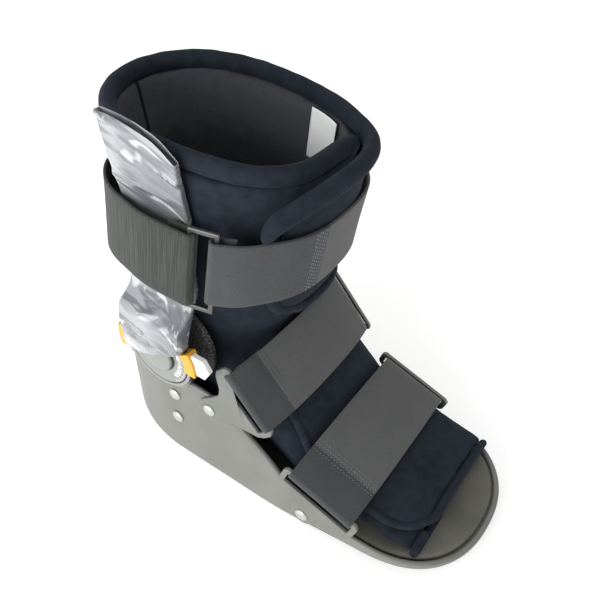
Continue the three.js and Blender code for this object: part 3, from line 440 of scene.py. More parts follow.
# Columns: tab, place along the boot and height of its rivet, lean, distance of the slot's lower edge.
TAB_SLOTS = [("rear", -34, 72, 48.2, 32.5), ("front", -109, 19, 18.6, 21)]
SLOT_GAPE, SAME_LEVEL = 2.6, 0.1
for place, y, z, lean, lower in TAB_SLOTS:
    upwards = Vector((0, -math.sin(math.radians(lean)), math.cos(math.radians(lean))))

    def widen(copy, rivet=Vector((0, y, z)), upwards=upwards, lower=lower):
        """Lets the slot's lower edge down, as the worn slots gape."""
        for point in copy.verts:
            rise = (point.co / MM - rivet).dot(upwards)
            if abs(rise - lower) < SAME_LEVEL:
                point.co -= upwards * (SLOT_GAPE * MM)

    for side in SIDES:
        softened(f"strap_tab_{place}_{side}", 0.7, shell_paint, widen)


# Rivets: bright domed steel heads with a thin closing head inside the wall.
def turned(name, section, steps, centre, sign, paint, replaced):
    """A part turned about an X axis from (radius, distance) points, on one side of the boot."""
    lathe = bmesh.new()
    points = [lathe.verts.new((far, radius, 0)) for radius, far in section]
    edges = [lathe.edges.new(pair) for pair in zip(points, points[1:])]
    bmesh.ops.spin(lathe, geom=points + edges, cent=(0, 0, 0), axis=(1, 0, 0), angle=math.tau, steps=steps,
                   use_merge=True)
    bmesh.ops.remove_doubles(lathe, verts=lathe.verts, dist=1e-3)
    bmesh.ops.scale(lathe, verts=lathe.verts, vec=(sign * MM, MM, MM))
    bmesh.ops.translate(lathe, verts=lathe.verts, vec=(0, centre[0] * MM, centre[1] * MM))
    bmesh.ops.recalc_face_normals(lathe, faces=lathe.faces)
    piece = put(name, lathe)
    paint.on(piece)
    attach(piece, "boot")
    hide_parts(replaced)
    return piece


steel = Finish("rivet_metal", Metallic=0.85)
tarnish = steel.cloud(900, 3)
steel.feed("Base Color", steel.blend(tarnish, linear(206, 209, 204), linear(170, 173, 169)))
steel.feed("Roughness", 0.22 + 0.25 * tarnish)
steel.relief((tarnish, 0.06))
# Columns: place along the boot, height, seat of the head, foot inside.
RIVETS = [(0, 62, 62.13, 53.9), (0, 38.5, 62.57, 53.9), (-34, 72, 64.84, 58.0), (-109, 19, 65.84, 58.9)]
for side, sign in SIDES.items():
    for number, (y, z, seat, foot) in enumerate(RIVETS, 1):
        head = [
            (0, foot - 1), (3.3, foot - 1), (3.7, foot - 0.7), (3.7, foot), (2.3, foot), (2.3, seat),
            (4.7, seat), (4.7, seat + 0.35), (4.3, seat + 0.9), (3.3, seat + 1.4), (1.9, seat + 1.65),
            (0, seat + 1.7),
        ]
        turned(f"rivet_head_{side}_{number}", head, 28, (y, z), sign, steel,
               f"rivet_{side}_{number}")


# Ankle hinge: a flat arm riveted inside the wall, and over it a round dial with a raised boss and
# turned grooves; three near-black rings of painted shadow lie in the gap round the boss, in the groove
# and round the rim. Foam washers pad the arms on the ankle side.
HINGE_HEIGHT = 110.5
# Columns: radius of a painted shadow ring in a groove or gap, half its width.
GROOVE_SHADOWS = [(13.5, 0.75), (24.4, 0.5), (27.5, 0.6)]
hinge_paint = Finish("hinge_plastic", Specular_IOR_Level=0.5)
haze = hinge_paint.cloud(60, 3)
from_axis = (hinge_paint.axis("Y") ** 2 + (hinge_paint.axis("Z") - HINGE_HEIGHT * MM) ** 2) ** 0.5
# The rings' near-black is painted shade where shadow falls in the gaps; the dial's own plastic is the grey
# between them.
groove_shadows = 0.0
for radius, half_width in GROOVE_SHADOWS:
    groove_shadows = groove_shadows + hinge_paint.band(abs(from_axis - radius * MM), half_width * MM, 0.3 * MM)
hinge_paint.feed("Base Color", hinge_paint.blend(
    groove_shadows, hinge_paint.blend(haze, linear(122, 124, 120), linear(136, 137, 133)), linear(28, 29, 29)))
hinge_paint.feed("Roughness", 0.3 + 0.15 * haze)
hinge_paint.relief((hinge_paint.cloud(2200, 2), 0.035))
foam = Finish("pad_foam", Specular_IOR_Level=0.2)
crumbs = foam.cells(900)
foam.feed("Base Color", foam.blend(foam.band(crumbs, 0.25, 0.75), linear(26, 26, 28), linear(92, 92, 92)))
foam.feed("Roughness", 0.8 + 0.15 * crumbs)
foam.relief((crumbs, 0.5))
# Columns: radius, distance from the boot's middle.
DIAL = [
    (0, 67.2), (27, 67.2), (27.5, 67.6), (27.5, 69.8), (27.2, 70.2), (26.8, 70.3), (25, 70.3),
    (24.7, 69.7), (24.1, 69.7), (23.8, 70.3), (14.4, 70.3), (14.0, 70.0), (0, 70.0),
]
BOSS = [
    (0, 70.55), (12.5, 70.55), (12.8, 70.8), (12.8, 72.1), (12.5, 72.6), (11.6, 72.9), (6.4, 73.15),
    (0, 73.2),
]
WASHER = [(0, 50.5), (31.4, 50.5), (32, 51.1), (32, 53.2), (31.4, 53.85), (0, 53.85)]
for side, sign in SIDES.items():
    axis = (0, HINGE_HEIGHT)
    softened(f"hinge_arm_{side}", 0.6, hinge_paint)
    turned(f"dial_disc_{side}", DIAL, 96, axis, sign, hinge_paint, f"hinge_dial_{side}")
    turned(f"dial_boss_{side}", BOSS, 64, axis, sign, hinge_paint, f"hinge_cap_{side}")
    washer = turned(f"ankle_washer_{side}", WASHER, 64, axis, sign, foam, f"hinge_pad_{side}")


# Angle marks: fine white lines and plain numbers printed on the front part of each dial.
MARK_FACE, MARK_RING, NUMBER_RING, NUMBER_SIZE = 70.32, 23.4, 18.6, 4.6
MARK_MIDDLE, MARK_STEP = 184, 6
# Columns: number, its angle round the dial.
DIAL_NUMBERS = [("0", 184), ("15", 172), ("30", 160), ("15", 196), ("30", 208), ("45", 220), ("45", 148)]
ink = Finish("dial_ink", Roughness=0.6)
ink.feed("Base Color", ink.blend(ink.cloud(3000, 2), linear(232, 233, 230), linear(246, 246, 243)))
for side, sign in SIDES.items():
    marks = bmesh.new()
    for step in range(-8, 9):
        angle = math.radians(MARK_MIDDLE + MARK_STEP * step)
        reach = 21.6 if step % 2 == 0 else 22.3
        line = bmesh.ops.create_cube(marks, size=1)["verts"]
        bmesh.ops.scale(marks, verts=line, vec=(0.08, MARK_RING - reach, 0.34))
        bmesh.ops.translate(marks, verts=line, vec=(MARK_FACE, (MARK_RING + reach) / 2, 0))
        bmesh.ops.rotate(marks, verts=line, cent=(0, 0, 0), matrix=Matrix.Rotation(angle, 3, "X"))
    for text, angle in DIAL_NUMBERS:
        letters = bpy.data.curves.new("number", "FONT")
        letters.body = text
        letters.size = NUMBER_SIZE
        letters.extrude = 0.04
        letters.align_x = "CENTER"
        letters.align_y = "CENTER"
        holder = bpy.data.objects.new("number", letters)
        flat = bpy.data.meshes.new_from_object(holder)
        turn = math.radians(angle)
        outward = Vector((0, math.cos(turn), math.sin(turn)))
        across = Vector((1, 0, 0)).cross(outward) * sign
        flat.transform(Matrix.Translation(Vector((MARK_FACE, 0, 0)) + outward * NUMBER_RING)
                       @ Matrix((across, outward, Vector((1, 0, 0)))).transposed().to_4x4())
        marks.from_mesh(flat)
        bpy.data.objects.remove(holder)
    bmesh.ops.scale(marks, verts=marks.verts, vec=(sign * MM, MM, MM))
    bmesh.ops.translate(marks, verts=marks.verts, vec=(0, 0, HINGE_HEIGHT * MM))
    bmesh.ops.recalc_face_normals(marks, faces=marks.faces)
    printed = put(f"dial_marks_{side}", marks)
    ink.on(printed)
    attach(printed, "boot")


# Stop clips: orange-yellow brackets that straddle the dial's rim, the front one with a white
# six-sided pull grip. Each slides straight off the rim.
clip_paint = Finish("clip_plastic", Roughness=0.35, Coat_Weight=0.2)
tone = clip_paint.cloud(140, 3)
clip_paint.feed("Base Color", clip_paint.blend(tone, linear(210, 138, 14), linear(226, 166, 28)))
clip_paint.relief((clip_paint.cloud(1800, 2), 0.04))
grip_paint = Finish("grip_plastic", Roughness=0.4)
grip_paint.feed("Base Color", grip_paint.blend(
    grip_paint.cloud(200, 3), linear(214, 214, 210), linear(226, 226, 223)))
grip_paint.relief((grip_paint.cloud(1800, 2), 0.03))
for side in SIDES:
    for place in ("front", "rear"):
        softened(f"stop_clip_{side}_{place}", 0.45, clip_paint)
    softened(f"stop_grip_{side}", 0.6, grip_paint)


# Uprights: flat aluminium stays with a satin brushed face that rise from the dials beside the leg.
stay_paint = Finish("upright_metal", Metallic=0.7)
brush = stay_paint.cloud(500, 4, stay_paint.stretched((1, 0.25, 8)), 0.6)
stay_paint.feed("Base Color", stay_paint.blend(brush, linear(150, 152, 152), linear(186, 188, 188)))
stay_paint.feed("Roughness", 0.3 + 0.25 * brush)
stay_paint.relief((brush, 0.04))
for side in SIDES:
    softened(f"upright_{side}", 0.5, stay_paint)


# Liner: a boot of dark fleece laminated to soft foam, sewn round the foot and open at the toe and
# down the front, where its two panels lap over each other.
LINER_TOP, RIM_SLOPE, RIM_START = 244, 0.06, 0.866
LEG_HALF_WIDTH, LEG_FRONT, LEG_BACK = 53.4, 82, 76
# Columns: share of the liner's height, of its half width, of its front, of its back.
LEG_ROWS = [
    (0.08, 0.8, 0.55, 0.9), (0.11, 0.9, 0.6, 0.97), (0.162, 0.94, 0.62, 1.0),
    (0.304, 0.91, 0.62, 1.0), (0.445, 0.88, 0.64, 0.98), (0.518, 0.89, 0.7, 0.965),
    (0.587, 0.92, 0.78, 0.945), (0.68, 1.0, 0.873, 0.883), (0.866, 1.0, 0.985, 0.765),
    (1.0, 1.06, 1.03, 0.84),
]

fleece = Finish("liner_cloth", Sheen_Weight=0.12, Sheen_Roughness=0.5, Specular_IOR_Level=0.1)
fleece.shader.inputs["Sheen Tint"].default_value = linear(120, 134, 152)
pile = fleece.cloud(1500, 4, None, 0.65)
nap = fleece.cloud(160, 3)
shade = fleece.cloud(16, 2)
inside = fleece.at.node("ShaderNodeAttribute", {"attribute_name": "inside"}, {}, "Fac")
# Painted shadow: a near-black line down the lining's back, where the fabric creases beside its seam.
seam = fleece.band(abs(fleece.axis("X") + 4 * MM), 2.2 * MM, 0.5 * MM) * inside
seam = seam * fleece.band(fleece.axis("Y"), 30 * MM, 36 * MM)
outside = fleece.blend(fleece.band(0.5 * nap + 0.5 * shade, 0.3, 0.7), linear(25, 29, 36), linear(37, 42, 51))
lining = fleece.blend(fleece.band(pile, 0.3, 0.7), linear(60, 61, 65), linear(72, 73, 77))
fleece.feed("Base Color", fleece.blend(seam, fleece.blend(inside, outside, lining), linear(10, 11, 13)))
fleece.feed("Roughness", 0.82 + 0.15 * pile)
fleece.relief((pile, 0.22), (nap, 0.25))


def leg_point(share, angle, lift):
    """A point of the leg's outside: angle 0 is the front, and positive angles run round by the left."""
    wide, front, rear = (along(LEG_ROWS, share, column) for column in (1, 2, 3))
    turn = math.radians(angle)
    ahead = math.cos(turn) > 0
    reach, exponent = (LEG_FRONT * front, 2.4) if ahead else (LEG_BACK * rear, 2.05)
    x = -(LEG_HALF_WIDTH * wide + lift) * power(math.sin(turn), exponent)
    y = -(reach + lift) * power(math.cos(turn), exponent)
    tilt = RIM_SLOPE * (y + 15) * min(1, max(0, (share - RIM_START) / (1 - RIM_START)))
    return Vector((x, y, share * LINER_TOP + tilt))


def stuffed(node, voxel):
    """A CAD node's shape as an even fine cloth skin, ready to be filled."""
    copy = bmesh.new()
    copy.from_mesh(frame["nodes"][node].data)
    bmesh.ops.remove_doubles(copy, verts=copy.verts, dist=1e-5)
    rough = put(node + ".rough", copy)
    remesh = rough.modifiers.new("even", "REMESH")
    remesh.mode = "VOXEL"
    remesh.voxel_size = voxel * MM
    bpy.context.view_layer.update()
    even = bpy.data.meshes.new_from_object(rough.evaluated_get(bpy.context.evaluated_depsgraph_get()))
    bpy.data.objects.remove(rough)
    fine = bmesh.new()
    fine.from_mesh(even)
    bmesh.ops.smooth_vert(fine, verts=fine.verts, factor=0.5, use_axis_x=True, use_axis_y=True,
                          use_axis_z=True)
    return put(node + ".padded", fine)


# Columns: node, mesh size, how far the filling may push the cloth out, both in mm.
SOFT_NODES = [("liner_body", 3.2, 1.1), ("foot_flap", 2.4, 1.0), ("shin_flap", 2.4, 1.0)]
# The liner's skin is thinned out a little, to stay under 200,000 triangles.
LINER_SHARE_KEPT = 0.85
FILLING_PRESSURE, FILLING_FRAMES = 4, 14
soft_pieces = {}
for node, voxel, swell in SOFT_NODES:
    pad = stuffed(node, voxel)
    soft_pieces[node] = (pad, [point.co.copy() for point in pad.data.vertices], swell)
    cloth = pad.modifiers.new("filling", "CLOTH")
    cloth.settings.use_pressure = True
    cloth.settings.uniform_pressure_force = FILLING_PRESSURE
    cloth.settings.quality = 4
    cloth.settings.effector_weights.gravity = 0
    cloth.collision_settings.use_collision = False
for moment in range(1, FILLING_FRAMES + 1):
    bpy.context.scene.frame_set(moment)
for node, (pad, rest, swell) in soft_pieces.items():
    swollen = pad.evaluated_get(bpy.context.evaluated_depsgraph_get()).data
    places = [point.co.copy() for point in swollen.vertices]
    pad.modifiers.clear()
    for point, start, moved in zip(pad.data.vertices, rest, places):
        push = moved - start
        point.co = start + push * min(1, swell * MM / max(push.length, 1e-9))
    # Faces of the leg part that look inwards are lining, told by an attribute from 0 to 1.
    lined = pad.data.attributes.new("inside", "FLOAT", "POINT")
    for point in pad.data.vertices:
        outwards = Vector((point.co.x, point.co.y + 0.012, 0)).normalized()
        facing = -outwards.dot(point.normal) * 2 if node == "liner_body" else 0
        lined.data[point.index].value = min(1, max(0, facing)) * smooth((point.co.z - 0.1) / 0.03)
    finer = pad.modifiers.new("finer", "SUBSURF")
    finer.levels = finer.render_levels = 1
    if node == "liner_body":
        fewer = pad.modifiers.new("fewer", "DECIMATE")
        fewer.ratio = LINER_SHARE_KEPT
    fleece.on(pad)
    pad.data.shade_smooth()
    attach(pad, "boot")
    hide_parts(node)
bpy.context.scene.frame_set(1)


# Rim binding: a rolled fleece edge from the tucked-in end of the left panel round the rim, then over
# the lap and down its curved edge. A sewn groove runs under it.
# Columns: angle round the leg, distance out from its outside, height over the roll's usual level.
BINDING_ROWS = [
    (-27, -3, -6), (-15, -5, -2.5), (-5, -6.5, -0.5), (6, -6.5, 0), (24, -4, 0), (45, -3, 0),
    (70, -4.5, 0), (90, -4.5, 0), (110, -4.5, 0), (135, -3, 0), (160, -3, 0), (180, -3, 0),
    (200, -3, 0), (225, -3, 0), (250, -4.5, 0), (270, -4.5, 0), (290, -4, 0), (310, -1.5, -0.5),
    (320, 0.5, -1), (330, 3.5, -1), (345, 7.5, -0.5), (360, 9.5, -1), (372, 9.5, -3), (384, 9, -8),
    (394, 8.5, -15), (400.5, 8, -22), (405, 7.5, -33),
]
ROLL_LEVEL = 3.8


def rim_line(share):
    angle = mix(BINDING_ROWS[0][0], BINDING_ROWS[-1][0], share)
    rise = ROLL_LEVEL + along(BINDING_ROWS, angle, 2)
    return leg_point(1, angle, along(BINDING_ROWS, angle, 1)) + Vector((0, 0, rise))


def fleece_roll(name, line, radius, columns, rows, flat=1.0, replaced=None):
    """A fleece roll along a line, closed and rounded at both ends."""

    def roll_point(across, share):
        middle = line(min(0.9999, max(0.0001, share)))
        ahead = (line(min(1, share + 0.003)) - line(max(0, share - 0.003))).normalized()
        side = ahead.cross(Vector((0, 0, 1))).normalized()
        top = side.cross(ahead)
        end = min(1, min(share, 1 - share) * rows / 5)
        reach = radius * math.sqrt(max(0, 1 - (1 - end) ** 2)) * (1 + 0.05 * noise.noise(middle * 0.12))
        turn = math.tau * across
        return middle + side * (reach * math.cos(turn)) + top * (reach * flat * math.sin(turn))

    piece = skin(name, columns, rows, roll_point)
    fleece.on(piece)
    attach(piece, "boot")
    if replaced:
        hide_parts(replaced)


fleece_roll("rim_roll", rim_line, 4.7, 20, 240, 1.2, "rim_binding")


# Foot hems: narrow rolled edges down the left side and along the front of the foot flap, along the
# liner's toe opening below it, and along the bottom and the left side of the shin flap.
LINER_FLOOR, FOOT_LENGTH, FOOT_HALF_WIDTH, FOOT_HEIGHT, FOOT_POWER = 19, 182, 54, 118, 2.7
# Columns: share of the foot's length, share of its height, share of its half width.
FOOT_ROWS = [
    (-0.06, 0.96, 0.88), (0.31, 0.95, 0.88), (0.385, 0.8, 0.88), (0.44, 0.68, 0.9), (0.5, 0.56, 0.92),
    (0.555, 0.43, 0.95), (0.68, 0.385, 0.96), (0.82, 0.33, 0.96), (0.93, 0.285, 0.96), (1.0, 0.25, 0.95),
]
# Columns: share of the foot's length, angle of the flap's left edge over the top from the right.
FLAP_EDGE = [
    (0.36, 128), (0.44, 130), (0.5, 132), (0.6, 136), (0.7, 139), (0.82, 140), (0.9, 136),
    (0.96, 126), (1.0, 112),
]
# Columns: share of the leg's height, angle of the shin flap's left edge round the leg.
SHIN_EDGE = [(0.612, 14), (0.628, 25), (0.65, 31), (0.7, 35), (0.8, 37), (0.9, 35)]


def foot_point(share, angle, lift):
    """A point of the foot's outside: angle 0 is the right side and 90 the top."""
    high, wide = along(FOOT_ROWS, share, 1), along(FOOT_ROWS, share, 2)
    top = FOOT_HEIGHT * high
    turn = math.radians(angle)
    x = (FOOT_HALF_WIDTH * wide + lift) * power(math.cos(turn), FOOT_POWER)
    rise = lift if math.sin(turn) > 0 else 0
    z = (LINER_FLOOR + top) / 2 + ((top - LINER_FLOOR) / 2 + rise) * power(math.sin(turn), FOOT_POWER)
    away = abs(x + 9) / FOOT_HALF_WIDTH
    fall = (z - LINER_FLOOR) * 0.33 * smooth((share - 0.6) / 0.4) * away
    return Vector((x, -share * FOOT_LENGTH, z - fall))


def run_of(points):
    """A line resampled so that equal shares are equal lengths, and its whole length."""
    lengths = [0.0]
    for first, second in zip(points, points[1:]):
        lengths.append(lengths[-1] + (second - first).length)

    def at(share):
        goal = share * lengths[-1]
        spot = next((i for i, length in enumerate(lengths) if length >= goal), len(points) - 1)
        if spot == 0:
            return points[0].copy()
        rest = (goal - lengths[spot - 1]) / (lengths[spot] - lengths[spot - 1])
        return points[spot - 1].lerp(points[spot], rest)

    return at, lengths[-1]


def steps_of(count):
    """Shares from 0 to 1 in so many equal steps."""
    return [i / count for i in range(count + 1)]


# Columns: hem, radius of its roll, points of its middle line.
HEMS = [
    ("foot_flap_hem", 2.8,
     [foot_point(mix(0.37, 1, i), along(FLAP_EDGE, mix(0.37, 1, i)), 4) for i in steps_of(40)]
     + [foot_point(1.01, mix(108, -18, i), 3.6) for i in steps_of(40)]),
    ("toe_hem", 2.8, [foot_point(1.005, mix(126, 262, i), -3) for i in steps_of(60)]),
    ("shin_flap_hem", 4.2,
     [leg_point(0.592, mix(-62, 12, i), 6.5 - 3 * i ** 2) for i in steps_of(30)]
     + [leg_point(mix(0.605, 0.86, i), along(SHIN_EDGE, mix(0.612, 0.86, i)), 4) for i in steps_of(40)]),
]
for name, radius, line in HEMS:
    fleece_roll(name, run_of(line)[0], radius, 14, 180)


# Size tag: a small white satin tag sewn inside the right wall, left bare. It spans two angles round
# the leg and two heights, and bellies out a little at its free lower end.
TAG_FROM, TAG_TO, TAG_LOW, TAG_HIGH = -42, -66, 210, 241
TAG_DEPTH, TAG_BELLY, TAG_THICK = 8.9, 0.5, 0.35


def tag_point(across, share):
    z = mix(TAG_LOW, TAG_HIGH, share)
    lift = -TAG_DEPTH - TAG_BELLY * math.sin(math.pi * across) * (1 - share)
    point = leg_point(z / LINER_TOP, mix(TAG_FROM, TAG_TO, across), lift)
    return Vector((point.x, point.y, z))


tag = skin("size_tag", 26, 26, tag_point, TAG_THICK)
tag_width = run_of([tag_point(i, 0.5) for i in steps_of(40)])[1]
satin = Finish("label_cloth", "cloth", Sheen_Weight=0.2)
threads = satin.at.node("ShaderNodeTexWave", {"bands_direction": "Y"}, {"Vector": satin.at, "Scale": 40.0}, 1)
satin.feed("Base Color", satin.blend(threads, linear(236, 237, 238), linear(250, 250, 250)))
satin.feed("Roughness", 0.45 + 0.1 * threads)
satin.relief((threads, 0.05))
satin.on(tag)
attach(tag, "boot")
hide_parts("size_label")
tag_width * MM


# Film sleeves: crinkled clear bags pulled over the stays, slack below, where they hang over the
# dials, and pressed flat under the calf strap.
DIAL_OVER, SLEEVE_HALF, SLEEVE_LEAN, SLEEVE_INNER_HEM = 74.4, 24.8, 3, 139.2
FILM_SLACK, FOLD_DEPTH, FOLD_SLANT, FILM_THICK = 1.75, 2.1, 28, 0.2
# Heights: where the film swells out over the dial, and the stretch that the calf strap presses flat.
SWELL_TOP, PRESSED_FROM, PRESSED_TO = 152.5, 158, 219
# Columns: height, middle of the stay.
STAY_PATH = [(86, 65.8), (136.5, 65.8), (162, 56.02), (215, 56.02), (242, 60.0), (262, 62.0)]
# Columns: place along the boot, height.
SLEEVE_HEM = [
    (-40, 150), (-37, 139), (-27, 128.5), (-13, 119), (0, 112), (13, 107), (24, 111), (26, 124),
]
# Columns: place along the boot, drop from the sleeve's top.
SLEEVE_CUT = [(-29, -17), (-26, -14), (-16, -6), (-2, -1.5), (19, 0), (27, -1)]
SLEEVE_TOPS = {"left": 265, "right": 247}


def straight(rows, at):
    """The second column of a table with a rising first one, read with straight steps."""
    high = max(1, next((i for i, row in enumerate(rows) if row[0] >= at), len(rows) - 1))
    share = min(1, max(0, (at - rows[high - 1][0]) / (rows[high][0] - rows[high - 1][0])))
    return mix(rows[high - 1][1], rows[high][1], share)


def creases(y, z, seed):
    """Sharp film folds: long thin ridges that slant down to the toe, and a crumpled front corner."""
    down = math.radians(FOLD_SLANT)
    over = z * math.cos(down) - y * math.sin(down)
    run = -y * math.cos(down) - z * math.sin(down)
    ridge = 1 - 2 * abs(noise.noise(Vector((0.07 * over, 0.016 * run, seed))))
    fine = 1 - 2 * abs(noise.noise(Vector((0.16 * over, 0.05 * run, seed + 7))))
    corner = smooth((-16 - y) / 8) * smooth((152 - z) / 12)
    crumple = noise.noise(Vector((0.35 * y, 0.35 * z, seed + 3)))
    return 0.8 * max(0.0, ridge) ** 3 + 0.12 * max(0.0, fine) ** 2 + 0.9 * corner * crumple


def sleeve_point(side):
    top = SLEEVE_TOPS[side]

    def place(around, share):
        turn = math.tau * around
        wide = power(math.sin(turn), 7)
        face = power(math.cos(turn), 4)
        guess = mix(120, top, share)
        y = SLEEVE_HALF * wide - SLEEVE_LEAN * min(1, max(0, (guess - HINGE_HEIGHT) / 104.5))
        low = mix(along(SLEEVE_HEM, y), SLEEVE_INNER_HEM, smooth((0.15 - face) / 0.5))
        high = top + along(SLEEVE_CUT, y)
        z = mix(low, high, share)
        bulge = smooth((SWELL_TOP - z) / 14)
        middle = straight(STAY_PATH, z)
        x = mix(middle + FILM_SLACK, DIAL_OVER, bulge) if face > 0 else middle - FILM_SLACK
        x = mix(middle, x, min(1, abs(face) * 1.6))
        loose = max(smooth((PRESSED_FROM - z) / 8), smooth((z - PRESSED_TO) / 8))
        if face > 0:
            seed = 3.1 if side == "left" else 8.4
            x += FOLD_DEPTH * loose * creases(y, z, seed) * smooth(abs(face) * 2)
        return SIDES[side] * x, y + 0.25 * loose * noise.noise(Vector((z * 0.2, y * 0.2, 5))), z

    return place


film = Finish("clear_film", Specular_IOR_Level=0.6, Coat_Weight=0.7, Coat_Roughness=0.05)
wide_folds = film.cloud(26, 2, film.stretched((1, 3.2, 1), math.radians(40)), 0.45, 0.5)
long_folds = film.cloud(85, 2, film.stretched((1, 6, 1), math.radians(22)), 0.5, 0.4)
crease_glints = film.cloud(130, 1, film.stretched((1, 3.5, 1), math.radians(30)), 0.5, 0.6)
# Painted shade and highlight: the film's grey darkens in the broad fold valleys and along thin fold lines,
# and brightens to painted glints along the creases.
fold_shaded_film = film.blend(film.band(wide_folds, 0.34, 0.64), linear(118, 121, 125), linear(162, 164, 167))
fold_shaded_film = film.blend(film.band(abs(long_folds - 0.5), 0.06, 0.0), fold_shaded_film, linear(104, 108, 113))
fold_shaded_film = film.blend(film.band(crease_glints, 0.62, 0.72), fold_shaded_film, linear(196, 198, 200))
film.feed("Base Color", fold_shaded_film)
film.feed("Roughness", 0.12 + 0.16 * crease_glints)
film.feed("Alpha", 0.82 + 0.18 * wide_folds)
film.relief((wide_folds, 1.6), (long_folds, 0.8))
for side in SIDES:
    sleeve = skin(f"film_bag_{side}", 150, 110, sleeve_point(side), FILM_THICK)
    film.on(sleeve)
    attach(sleeve, "boot")
    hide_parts(f"film_sleeve_{side}")


# Foot straps: flat woven tape, looped round the bars of the tabs and folded back under itself. The
# end nearest the left bar is smooth, then a stitched seam, then a looped nap.
BAR, TAB_THICK, STRAP_THICK = 4, 2.6, 1.5
CROWN_RISE, TUCK_LENGTH, TUCK_UNDER, TAPE_EDGE = 9.6, 24, 2.1, 0.5
STITCH_ROWS, STITCHES_A_ROW = (-3.6, -1.2, 1.2, 3.6), 20
# The right end, which dips inside the tab and out through its slot. Columns: step, place across
# from the bar, height along the tab from the bar.
THREADED = [
    (0, -16, 8.0), (1, -10, 6.6), (2, -6, 4.2), (3, -3.4, 0.8), (4, -2.0, -2.6), (5, 0, -4.9),
    (6, 2.4, -6.2), (7, 3.1, -9.5), (8, 3.0, -15),
]
# y and z: the tab's rivet. turn: the lean of the tab in degrees. reach: from the rivet to the bar's
# outer edge. middle: the strap's middle beside the rivet. bars: where the two bars lie across the
# boot. seam: from the left bar's loop to the stitches.
FOOT_STRAPS = {
    "ankle_strap": {"y": -34, "z": 72, "turn": 48.2, "reach": 42.5, "middle": 1.25, "width": 44.5,
                    "bars": (-61.52, 56.07), "seam": 20},
    "forefoot_strap": {"y": -109, "z": 19, "turn": 18.6, "reach": 31, "middle": 3.25, "width": 49.5,
                       "bars": (-62.6, 62.6), "seam": 23},
}


def webbing(name, seam, length, ribbed):
    """Strap tape seen along its UV map: smooth up to the seam, then a looped nap, or ribbed all over."""
    tape = Finish(name, "cloth", Sheen_Weight=0.15, Sheen_Roughness=0.5, Specular_IOR_Level=0.18)
    run = tape.at.node("ShaderNodeMapping", {}, {"Vector": tape.at, "Scale": (length * MM, 0.05, 1)})
    weave = tape.cells(1350, run)
    tuft = tape.cloud(420, 4, run, 0.6)
    broad = tape.cloud(40, 2, run)
    nap = tape.band(tape.axis("X", run), seam * MM, (seam + 1.5) * MM)
    if ribbed:
        thin = tape.at.node("ShaderNodeMapping", {}, {"Vector": tape.at, "Scale": (length * MM, 0.0012, 1)})
        rib = tape.cloud(900, 3, thin, 0.7)
        streak = tape.band(rib, 0.42, 0.66)
        tape.feed("Base Color", tape.blend(
            0.85 * streak + 0.15 * broad, linear(38, 41, 38), linear(64, 68, 64)))
        tape.feed("Roughness", 0.7 + 0.2 * rib)
        tape.relief((rib, 0.55), (weave, 0.1))
        return tape
    plain = tape.blend(broad, linear(55, 56, 58), linear(65, 66, 68))
    looped = tape.blend(0.5 * tuft + 0.5 * broad, linear(72, 74, 73), linear(93, 94, 93))
    tape.feed("Base Color", tape.blend(nap, plain, looped))
    tape.feed("Roughness", 0.72 + 0.2 * nap)
    tape.relief((weave * (1 - nap) * 0.4 + tuft * nap, 0.3), (weave, 0.12))
    return tape


def stitches(name, spots, length, thick, cotton):
    """Sewn threads: a small rounded bar at each spot, laid in its own direction and facing."""
    sewn = bmesh.new()
    for spot, lay, out in spots:
        bar = bmesh.ops.create_uvsphere(sewn, u_segments=6, v_segments=4, radius=0.5)["verts"]
        side = out.cross(lay).normalized()
        bmesh.ops.transform(sewn, verts=bar, matrix=Matrix.Translation(spot * MM) @ Matrix(
            (lay.normalized() * length * MM, side * thick * MM, out.normalized() * thick * MM)
        ).transposed().to_4x4())
    piece = put(name, sewn)
    cotton.on(piece)
    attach(piece, "boot")
    return piece


thread = Finish("sewing_thread", Roughness=0.55)
thread.feed("Base Color", thread.blend(thread.cloud(2500, 2), linear(104, 102, 112), linear(128, 126, 136)))
dark_thread = Finish("dark_thread", Roughness=0.6)
dark_thread.feed("Base Color", dark_thread.blend(
    dark_thread.cloud(2500, 2), linear(38, 39, 42), linear(54, 55, 58)))

